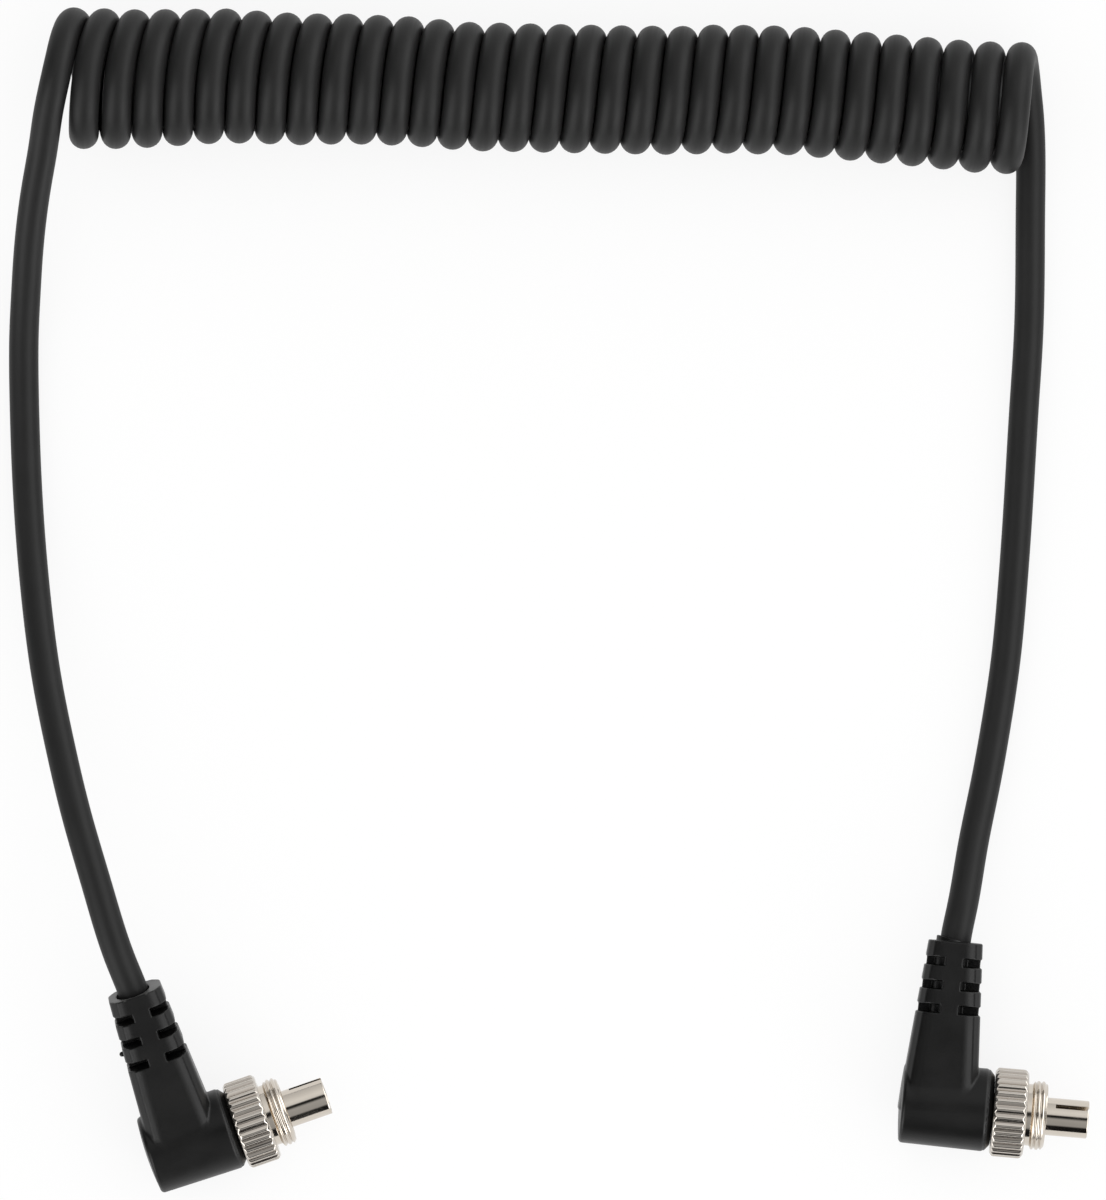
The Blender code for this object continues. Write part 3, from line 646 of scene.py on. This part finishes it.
def ring_shape(front, nose, end, undercut, turn):
    """The radius on the ring: knurl on its rim, thread on its nose.

    The knurl's valleys are cut along x, tooth by tooth, to the tooth's depth; the cutter leaves
    a turned chamfer alone where that is already smaller. The thread is a right-hand groove,
    x / pitch + u / tau whole at its deepest, that runs out at both ends of the nose.
    """

    def reshape(x, radius, u):
        tooth = np.abs((u * RING_TEETH / math.tau - turn) % 1.0 - 0.5) * 2
        crown = RING_RADIUS - TOOTH_DEPTH * (0.5 - 0.5 * np.cos(math.pi * tooth))
        rim = (x < front + 0.01) & (radius > RING_RADIUS - KNURL_BAND)
        phase = x / THREAD_PITCH + u / math.tau
        groove = (0.5 + 0.5 * np.cos(math.tau * phase)) ** 2.2
        fade = np.clip((x - nose + 0.1) / 0.3, 0.0, 1.0) * np.clip((end - x) / 0.4, 0.0, 1.0)
        threaded = (x > nose - 0.05) & (radius > undercut + 0.02)
        knurled = soft_least(radius, crown, 0.06)
        cut = radius - THREAD_CUT * groove * fade
        return np.where(rim, knurled, np.where(threaded, np.maximum(cut, undercut), radius))

    return reshape


def make_ring(side, finish):
    """The knurled lock ring with its threaded nose."""
    node = side + "_lock_ring"
    start, end = node_span(node, side)
    front, nose, lip = start + RIM_LENGTH, end - THREAD_LENGTH, start + LIP_THICKNESS
    undercut, thread = UNDERCUT_RADIUS, THREAD_RADIUS
    corners = [
        (start, RING_BORE, 0.1),
        (start, RING_RADIUS - 0.4, 0.08),
        (start + 0.36, RING_RADIUS, 0.2),
        (front - 0.38, RING_RADIUS, 0.22),
        (front, RING_RADIUS - 0.42, 0.1),
        (front, thread + 0.1, 0.05),
        (front - UNDERCUT_DEPTH, undercut + 0.1, 0.08),
        (front - UNDERCUT_DEPTH + 0.1, undercut, 0.05),
        (nose - 0.05, undercut, 0.05),
        (nose + 0.2, thread, 0.12),
        (end - 0.38, thread, 0.2),
        (end, thread - 0.4, 0.12),
        (end, RECESS_RADIUS, 0.08),
        (lip, RECESS_RADIUS, 0.08),
        (lip, RING_BORE, 0.08),
    ]
    profile = rounded_profile(corners)
    hollow = profile[:, 1] < RECESS_RADIUS + 0.01
    outside, inside = RING_ROWS
    profile = divided(profile, np.where(hollow, inside, outside))
    keep = np.concatenate([[True], np.linalg.norm(np.diff(profile, axis=0), axis=1) > 1e-6])
    profile = profile[keep]
    shape = ring_shape(front, nose, end, undercut, TEETH_TURN[side])
    points, quads = turned(profile, RING_COLUMNS, shape)
    world = place_in_world(points, plug_place(side))
    piece = new_piece(side + "_knurled_ring", world, quads, finish)
    give_uv(piece, profile_uv(profile, RING_COLUMNS))
    radius = np.hypot(points[:, 1], points[:, 2])
    turned_radius = np.repeat(profile[:, 1], RING_COLUMNS)
    # The finish paints shade into the valleys and the thread's groove by this depth.
    give_value(piece, "depth", np.clip((turned_radius - radius) / TOOTH_DEPTH, 0.0, 1.0))
    on_rim = (points[:, 0] < front) & (turned_radius > RING_RADIUS - KNURL_BAND)
    give_value(piece, "rim", on_rim * 1.0)
    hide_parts(node)
    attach(piece, side + "_ring")
    return piece


def tube_rows():
    """The contact tube's closed profile, and the rows where its slits start outside and inside.

    It runs forward outside, over the flange, and back inside, with the same steps along the
    slits on both sides so that their rows pair up.
    """
    outer, inner = TUBE_RADII
    back, front = TUBE_ENDS
    start, end, flange = FLANGE
    soft = TUBE_EDGE
    along = np.linspace(SLIT_START, front - soft, 26)
    bend = np.linspace(0.0, math.pi / 2, 5)[1:]
    tip_x = front - soft + soft * np.sin(bend)
    drop = soft * (1 - np.cos(bend))
    outside = [
        (back, outer - 0.06), (back + 0.06, outer), (start - 0.02, outer), (start, outer + 0.02),
        (start, flange - 0.08), (start + 0.08, flange), (end - 0.08, flange), (end, flange - 0.08),
        (end, outer + 0.08), (end + 0.08, outer),
    ]
    middle = [(x, outer) for x in np.linspace(end + 0.3, SLIT_START, 24)[:-1]]
    slit_outside = [*((x, outer) for x in along), *zip(tip_x, outer - drop)]
    slit_inside = [*zip(tip_x[::-1], inner + drop[::-1]), *((x, inner) for x in along[::-1])]
    inside = [(x, inner) for x in np.linspace(SLIT_START, back + 0.06, 30)[1:]]
    first = len(outside) + len(middle)
    last = first + len(slit_outside) + len(slit_inside) - 1
    rows = [*outside, *middle, *slit_outside, *slit_inside, *inside, (back, inner + 0.06)]
    return np.array(rows), first, last


def make_contact_tube(side, finish):
    """The plated contact tube with two slits at its mouth, opposite each other.

    Points are (x, r sin u, r cos u). Near a slit u is eased so that the columns beside it lie at
    half the slit's width from its middle at every radius, and the slits' walls are flat.
    """
    profile, first, last = tube_rows()
    column = np.arange(TUBE_COLUMNS)
    plain = column * math.tau / TUBE_COLUMNS
    off = (plain + math.pi / 2) % math.pi - math.pi / 2
    half = SLIT_COLUMNS * math.tau / TUBE_COLUMNS
    radius = profile[:, 1:2]
    ease = np.arcsin(SLIT_WIDTH / 2 / radius) - half
    near = np.clip(np.abs(off) / half, 0.0, 1.0) * np.clip(SLIT_EASE - np.abs(off), 0.0, 1.0)
    near /= SLIT_EASE - half
    around = plain + np.sign(off) * near * ease + math.radians(SLEEVE_SLITS[side])
    x = np.repeat(profile[:, :1], TUBE_COLUMNS, axis=1)
    points = np.stack([x, radius * np.sin(around), radius * np.cos(around)], axis=-1)
    quads = grid_quads(len(profile), TUBE_COLUMNS, rows_closed=True)
    row, place = quads[:, 0] // TUBE_COLUMNS, quads[:, 0] % TUBE_COLUMNS
    half_turn = TUBE_COLUMNS // 2
    in_slit = (place + SLIT_COLUMNS) % half_turn < 2 * SLIT_COLUMNS
    kept = quads[~(in_slit & (row >= first) & (row < last))]
    walls = []
    for middle in (0, half_turn):
        for end_column, turn in ((middle - SLIT_COLUMNS, 1), (middle + SLIT_COLUMNS, -1)):
            k = np.arange((last - first) // 2)
            out_row, in_row = first + k, last - k
            c = end_column % TUBE_COLUMNS
            wall = np.stack([out_row, out_row + 1, in_row - 1, in_row], axis=1) * TUBE_COLUMNS + c
            walls.append(wall[:, ::turn])
        c = (middle + np.arange(-SLIT_COLUMNS, SLIT_COLUMNS)) % TUBE_COLUMNS
        n = (c + 1) % TUBE_COLUMNS
        corners = [first * TUBE_COLUMNS + c, last * TUBE_COLUMNS + c]
        corners += [last * TUBE_COLUMNS + n, first * TUBE_COLUMNS + n]
        walls.append(np.stack(corners, axis=1))
    faces = np.concatenate([kept, *walls])
    used, faces = np.unique(faces, return_inverse=True)
    world = place_in_world(points.reshape(-1, 3)[used], plug_place(side))
    piece = new_piece(side + "_slit_tube", world, faces.reshape(-1, 4), finish)
    piece.data.set_sharp_from_angle(angle=math.radians(50))
    give_uv(piece, profile_uv(profile, TUBE_COLUMNS)[used])
    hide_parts(side + "_contact_sleeve")
    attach(piece, side + "_end")
    return piece


def make_centre_pin(side, finish):
    """The centre contact with its rounded tip and its thicker solder end."""
    back, shoulder, solder = SOLDER_END
    eye = 0.02  # the faces at its two ends keep a hole this small
    corners = [
        (back, eye, 0.0), (back, solder, 0.12), (shoulder, solder, 0.15),
        (shoulder + 0.1, PIN_RADIUS, 0.05), (PIN_TIP, PIN_RADIUS, 0.42), (PIN_TIP, eye, 0.0),
    ]
    profile = divided(rounded_profile(corners, 7), 0.4)
    points, quads = turned(profile, PIN_COLUMNS)
    keep = quads[quads[:, 0] // PIN_COLUMNS != len(profile) - 1].tolist()
    last = (len(profile) - 1) * PIN_COLUMNS
    keep.append(list(range(PIN_COLUMNS))[::-1])
    keep.append(list(range(last, last + PIN_COLUMNS)))
    world = place_in_world(points, plug_place(side))
    piece = new_piece(side + "_round_pin", world, keep, finish)
    give_uv(piece, profile_uv(profile, PIN_COLUMNS))
    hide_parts(side + "_centre_pin")
    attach(piece, side + "_end")


def make_insulator(side, finish):
    """The nylon bush that holds the pin in the tube's middle."""
    start, end, bore, outer = INSULATOR
    corners = [(start, bore, 0.06), (start, outer, 0.1), (end, outer, 0.12), (end, bore, 0.15)]
    profile = divided(rounded_profile(corners), 0.5)
    name, node = side + "_nylon_bush", side + "_insulator_bush"
    make_turned(name, node, side + "_end", side, profile, 72, finish)


# Finishes


def put(tree, kind, settings=None, **inputs):
    """Adds a node. Each input is a value or the socket that feeds it."""
    made = tree.nodes.new("ShaderNode" + kind)
    for name, value in (settings or {}).items():
        setattr(made, name, value)
    for name, value in inputs.items():
        socket = made.inputs[name.replace("_", " ")]
        if isinstance(value, bpy.types.NodeSocket):
            tree.links.new(value, socket)
        else:
            socket.default_value = value
    return made


def new_finish(name, **values):
    """A material with its Principled shader's own values, and its tree and shader."""
    made = bpy.data.materials.new(name)
    made.use_nodes = True
    shader = made.node_tree.nodes["Principled BSDF"]
    for socket, value in values.items():
        shader.inputs[socket.replace("_", " ")].default_value = value
    return made, made.node_tree, shader


def ranged(tree, value, low, high, start=0.0, end=1.0):
    """A value carried from start..end to low..high."""
    settings = {"clamp": True}
    inputs = {"Value": value, "From_Min": start, "From_Max": end, "To_Min": low, "To_Max": high}
    return put(tree, "MapRange", settings, **inputs).outputs["Result"]


def grey(level):
    """A colour socket's value for one level of grey."""
    return (level, level, level, 1)


def mixed(tree, share, first, second):
    """A colour between two, by a share."""
    return put(tree, "MixRGB", Fac=share, Color1=first, Color2=second).outputs["Color"]


def cord_finish():
    """Soft black PVC: faint lines along the cord from its drawing, fine grain, and a little dust."""
    made, tree, shader = new_finish("cord_pvc", Specular_IOR_Level=0.18)
    place = put(tree, "TexCoord")
    cloudy = put(tree, "TexNoise", Vector=place.outputs["Object"], Scale=260.0, Detail=3.0)
    grain = put(tree, "TexNoise", Vector=place.outputs["Object"], Scale=5200.0, Detail=2.0)
    long_lines = put(tree, "Mapping", Vector=place.outputs["UV"], Scale=(26.0, 0.35, 1.0))
    drawn = put(tree, "TexNoise", Vector=long_lines.outputs["Vector"], Scale=1.0, Detail=2.0)
    dust = put(tree, "TexVoronoi", Vector=place.outputs["Object"], Scale=330.0)
    speck = ranged(tree, dust.outputs["Distance"], 1.0, 0.0, 0.03, 0.05)
    some = ranged(tree, cloudy.outputs["Fac"], 0.0, 1.0, 0.64, 0.7)
    dusty = put(tree, "Math", {"operation": "MULTIPLY"})
    tree.links.new(speck, dusty.inputs[0])
    tree.links.new(some, dusty.inputs[1])
    body = mixed(tree, cloudy.outputs["Fac"], (0.011, 0.011, 0.0108, 1), (0.0165, 0.0165, 0.0165, 1))
    colour = mixed(tree, dusty.outputs[0], body, (0.09, 0.09, 0.085, 1))
    tree.links.new(colour, shader.inputs["Base Color"])
    tree.links.new(ranged(tree, drawn.outputs["Fac"], 0.42, 0.56), shader.inputs["Roughness"])
    fine = put(tree, "Bump", Strength=0.22, Distance=0.00002, Height=grain.outputs["Fac"])
    lined = put(
        tree,
        "Bump",
        Strength=0.3,
        Distance=0.00003,
        Height=drawn.outputs["Fac"],
        Normal=fine.outputs["Normal"],
    )
    tree.links.new(lined.outputs["Normal"], shader.inputs["Normal"])
    return made


def housing_finish():
    """Moulded black PVC: the tool's fine matt grain, with patches that handling has polished.

    Its neck's end is greyer, a painted reflection of the white table.
    """
    made, tree, shader = new_finish("moulded_pvc", Specular_IOR_Level=0.25)
    place = put(tree, "TexCoord")
    rubbed = put(tree, "TexNoise", Vector=place.outputs["Object"], Scale=210.0, Detail=4.0)
    grain = put(tree, "TexNoise", Vector=place.outputs["Object"], Scale=4200.0, Detail=3.0)
    body = mixed(tree, rubbed.outputs["Fac"], (0.0024, 0.0024, 0.0024, 1), (0.005, 0.005, 0.0048, 1))
    # Painted reflection: the neck's end face is greyed in place of the table's sheen on it.
    painted_end_reflection = put(tree, "Attribute", {"attribute_name": "painted_end_reflection"})
    body = mixed(tree, painted_end_reflection.outputs["Fac"], body, (0.06, 0.06, 0.0585, 1))
    tree.links.new(body, shader.inputs["Base Color"])
    tree.links.new(ranged(tree, rubbed.outputs["Fac"], 0.33, 0.45, 0.3, 0.7), shader.inputs["Roughness"])
    rough = put(tree, "Bump", Strength=0.35, Distance=0.00003, Height=grain.outputs["Fac"])
    tree.links.new(rough.outputs["Normal"], shader.inputs["Normal"])
    return made


def nickel_finish(name, knurled):
    """Nickel plate on turned brass: fine lines round the piece and mottled gloss.

    A knurled rim is duller, with painted shade that darkens the knurl's valleys and the thread's groove by their
    depth.
    """
    made, tree, shader = new_finish(name, Metallic=1.0)
    place = put(tree, "TexCoord")
    split = put(tree, "SeparateXYZ", Vector=place.outputs["UV"])
    tool = put(tree, "TexNoise", {"noise_dimensions": "1D"}, W=split.outputs["Y"], Scale=160.0, Detail=3.0)
    patch = put(tree, "TexNoise", Vector=place.outputs["Object"], Scale=480.0, Detail=3.0)
    plate = mixed(tree, patch.outputs["Fac"], (0.60, 0.545, 0.475, 1), (0.67, 0.615, 0.545, 1))
    gloss = ranged(tree, patch.outputs["Fac"], 0.07, 0.13, 0.35, 0.65)
    if knurled:
        rim = put(tree, "Attribute", {"attribute_name": "rim"})
        dull = ranged(tree, patch.outputs["Fac"], 0.13, 0.2, 0.35, 0.65)
        gloss = mixed(tree, rim.outputs["Fac"], gloss, dull)
        plate = mixed(tree, rim.outputs["Fac"], plate, (0.57, 0.53, 0.48, 1))
        # Painted shade: the plating darkens with depth below the turned surface, in the knurl's valleys and the
        # thread's groove.
        depth = put(tree, "Attribute", {"attribute_name": "depth"})
        shade = ranged(tree, depth.outputs["Fac"], 0.0, 0.8, 0.25, 1.0)
        plate = mixed(tree, shade, plate, (0.46, 0.41, 0.36, 1))
    tree.links.new(plate, shader.inputs["Base Color"])
    tree.links.new(gloss, shader.inputs["Roughness"])
    lines = put(tree, "Bump", Strength=0.18, Distance=0.00001, Height=tool.outputs["Fac"])
    tree.links.new(lines.outputs["Normal"], shader.inputs["Normal"])
    return made


def speckled_finish(name, dark, light, scale, rough, metallic=0.0):
    """A plain finish whose colour and gloss vary a little, for the pieces inside the plugs."""
    made, tree, shader = new_finish(name, Metallic=metallic)
    place = put(tree, "TexCoord")
    patch = put(tree, "TexNoise", Vector=place.outputs["Object"], Scale=scale, Detail=3.0)
    tree.links.new(mixed(tree, patch.outputs["Fac"], (*dark, 1), (*light, 1)), shader.inputs["Base Color"])
    tree.links.new(ranged(tree, patch.outputs["Fac"], *rough, 0.3, 0.7), shader.inputs["Roughness"])
    bump = put(tree, "Bump", Strength=0.15, Distance=0.00002, Height=patch.outputs["Fac"])
    tree.links.new(bump.outputs["Normal"], shader.inputs["Normal"])
    return made


def inner_finishes():
    """The finish of each material slot inside the plugs."""
    brass = speckled_finish("turned_brass", (0.60, 0.42, 0.18), (0.74, 0.55, 0.28), 700.0, (0.2, 0.34), 1.0)
    tinned = speckled_finish("tinned", (0.52, 0.48, 0.43), (0.66, 0.62, 0.56), 900.0, (0.3, 0.46), 1.0)
    nylon = speckled_finish("nylon", (0.74, 0.71, 0.62), (0.84, 0.82, 0.74), 500.0, (0.42, 0.55))
    wire = speckled_finish("wire", (0.72, 0.72, 0.70), (0.82, 0.82, 0.80), 500.0, (0.35, 0.5))
    return {"brass": brass, "tinned_copper": tinned, "natural_nylon": nylon, "wire_white": wire}


def finish_inner_nodes(finishes):
    """The pieces inside the plugs keep their solids and get their finish."""
    for row in frame["record"]["subparts"]:
        if row["material_slot"] in finishes:
            slots = frame["nodes"][row["node"]].data.materials
            slots.clear()
            slots.append(finishes[row["material_slot"]])


# Stage

PHOTO_WIDTH_MM = 128.6  # across the photograph at the plugs' height
PHOTO_CENTRE = (-5.26, 54.19)
CAMERA_HEIGHT = 2.0  # above the plugs' axes, in metres
PLUG_HEIGHT = 0.0052
TABLE_RADIUS = 3.0
TABLE_CORNERS = 96
TABLE_GREY = 0.8  # what the table throws back onto the object


def make_camera():
    """Straight above, with the photograph's frame across the plugs' height."""
    data = bpy.data.cameras.new("above")
    camera = bpy.data.objects.new("above", data)
    bpy.context.scene.collection.objects.link(camera)
    camera.location = (PHOTO_CENTRE[0] * MM, PHOTO_CENTRE[1] * MM, CAMERA_HEIGHT + PLUG_HEIGHT)
    data.sensor_fit = "HORIZONTAL"
    data.sensor_width = 36.0
    data.lens = data.sensor_width * CAMERA_HEIGHT / (PHOTO_WIDTH_MM * MM)
    data.clip_start = 0.05
    data.clip_end = 20.0
    bpy.context.scene.camera = camera


def seen_plainly(tree):
    """1 for rays from the camera, from gloss or through glass, and 0 for others."""
    path = put(tree, "LightPath")
    names = ("Is Camera Ray", "Is Glossy Ray", "Is Transmission Ray")
    total = path.outputs[names[0]]
    for name in names[1:]:
        both = put(tree, "Math", {"operation": "MAXIMUM"})
        tree.links.new(total, both.inputs[0])
        tree.links.new(path.outputs[name], both.inputs[1])
        total = both.outputs[0]
    return total


def make_floor():
    """A wide white table that keeps the object's shadow."""
    angle = np.linspace(0.0, math.tau, TABLE_CORNERS, endpoint=False)
    rim = TABLE_RADIUS * np.stack([np.cos(angle), np.sin(angle), np.zeros_like(angle)], axis=1)
    mesh = bpy.data.meshes.new("table")
    mesh.from_pydata(rim.tolist(), [], [list(range(TABLE_CORNERS))])
    made = bpy.data.materials.new("table_white")
    made.use_nodes = True
    tree = made.node_tree
    tree.nodes.clear()
    plain = seen_plainly(tree)
    colour = mixed(tree, plain, grey(TABLE_GREY), grey(1.0))
    matt = put(tree, "BsdfDiffuse", Color=colour)
    white = put(tree, "Emission", Strength=1.0)
    share = put(tree, "Math", {"operation": "MULTIPLY"})
    tree.links.new(plain, share.inputs[0])
    share.inputs[1].default_value = TABLE_WHITENESS
    both = put(tree, "MixShader", Fac=share.outputs[0])
    tree.links.new(matt.outputs[0], both.inputs[1])
    tree.links.new(white.outputs[0], both.inputs[2])
    put(tree, "OutputMaterial", Surface=both.outputs[0])
    mesh.materials.append(made)
    floor = bpy.data.objects.new("table", mesh)
    bpy.context.scene.collection.objects.link(floor)


AMBIENT = 1.0
TABLE_WHITENESS = 0.85  # the rest of it takes the object's shadow
KEY_POWER = 0.45
KEY_PLACE = (0.38, -0.37, 0.18)
KEY_SIZE = (0.25, 0.25)
# What shiny surfaces see of the room, by the angle from straight up towards +Y, in degrees
ROOM = [
    (-180, 1.0), (-98, 1.0), (-92, 0.1), (-86, 0.01), (-57, 0.01), (-48, 0.42), (-12, 0.48),
    (-6, 0.25), (-1, 0.02), (9, 0.02), (15, 0.9), (32, 1.0), (60, 0.82), (92, 0.68), (97, 1.0),
    (180, 1.0),
]
ROOM_RIGHT = 3.3  # the same, towards +X
ROOM_LEFT = (0.06, 3.8)  # and towards -X: on the far side and the near side
ROOM_LOW = 0.05  # and low down on both sides
# How far aside a ray points where those start and where they are full
ROOM_ASIDE = (0.36, 0.5)
ROOM_LOW_ASIDE = (0.82, 0.92)


def make_room():
    """White behind the object, an even light for its shading, and a studio for shiny surfaces."""
    world = bpy.data.worlds.new("studio")
    world.use_nodes = True
    bpy.context.scene.world = world
    tree = world.node_tree
    tree.nodes.clear()
    path = put(tree, "LightPath")
    way = put(tree, "TexCoord")
    split = put(tree, "SeparateXYZ", Vector=way.outputs["Generated"])
    angle = put(tree, "Math", {"operation": "ARCTAN2"})
    tree.links.new(split.outputs["Y"], angle.inputs[0])
    tree.links.new(split.outputs["Z"], angle.inputs[1])
    place = ranged(tree, angle.outputs[0], 0.0, 1.0, -math.pi, math.pi)
    ramp = put(tree, "ValToRGB", Fac=place)
    stops = ramp.color_ramp.elements
    for number, (degrees, level) in enumerate(ROOM):
        stop = stops[number] if number < 2 else stops.new((degrees + 180) / 360)
        stop.position = (degrees + 180) / 360
        stop.color = grey(level)
    start, full = ROOM_ASIDE
    to_right = ranged(tree, split.outputs["X"], 0.0, 1.0, start, full)
    to_left = ranged(tree, split.outputs["X"], 0.0, 1.0, -start, -full)
    left = ranged(tree, split.outputs["Y"], *ROOM_LEFT, -0.02, -0.2)
    shiny = mixed(tree, to_right, ramp.outputs["Color"], grey(ROOM_RIGHT))
    shiny = mixed(tree, to_left, shiny, left)
    aside = put(tree, "Math", {"operation": "ABSOLUTE"})
    tree.links.new(split.outputs["X"], aside.inputs[0])
    low = ranged(tree, aside.outputs[0], 0.0, 1.0, *ROOM_LOW_ASIDE)
    shiny = mixed(tree, low, shiny, grey(ROOM_LOW))
    studio = mixed(tree, path.outputs["Is Glossy Ray"], grey(AMBIENT), shiny)
    seen = mixed(tree, path.outputs["Is Camera Ray"], studio, grey(1.0))
    back = put(tree, "Background", Color=seen, Strength=1.0)
    out = put(tree, "OutputWorld")
    tree.links.new(back.outputs["Background"], out.inputs["Surface"])


def make_key_light():
    """One soft box over the table's near side."""
    data = bpy.data.lights.new("soft_box", "AREA")
    data.shape = "RECTANGLE"
    data.size, data.size_y = KEY_SIZE
    data.energy = KEY_POWER
    lamp = bpy.data.objects.new("soft_box", data)
    bpy.context.scene.collection.objects.link(lamp)
    lamp.location = KEY_PLACE
    aim = Vector((PHOTO_CENTRE[0] * MM, PHOTO_CENTRE[1] * MM, 0.0)) - lamp.location
    lamp.rotation_euler = aim.to_track_quat("-Z", "Y").to_euler()
    lamp.visible_camera = False


make_camera()
make_cord(cord_finish())
housing_black = housing_finish()
ring_nickel = nickel_finish("nickel_ring", knurled=True)
tube_nickel = nickel_finish("nickel_tube", knurled=False)
inner = inner_finishes()
for plug_side in SIDES:
    make_housing(plug_side, housing_black)
    make_ring(plug_side, ring_nickel)
    make_contact_tube(plug_side, tube_nickel)
    make_centre_pin(plug_side, inner["brass"])
    make_insulator(plug_side, inner["natural_nylon"])
finish_inner_nodes(inner)
make_floor()
make_room()
make_key_light()
bpy.context.scene.view_settings.view_transform = "Standard"

bpy.context.view_layer.update()
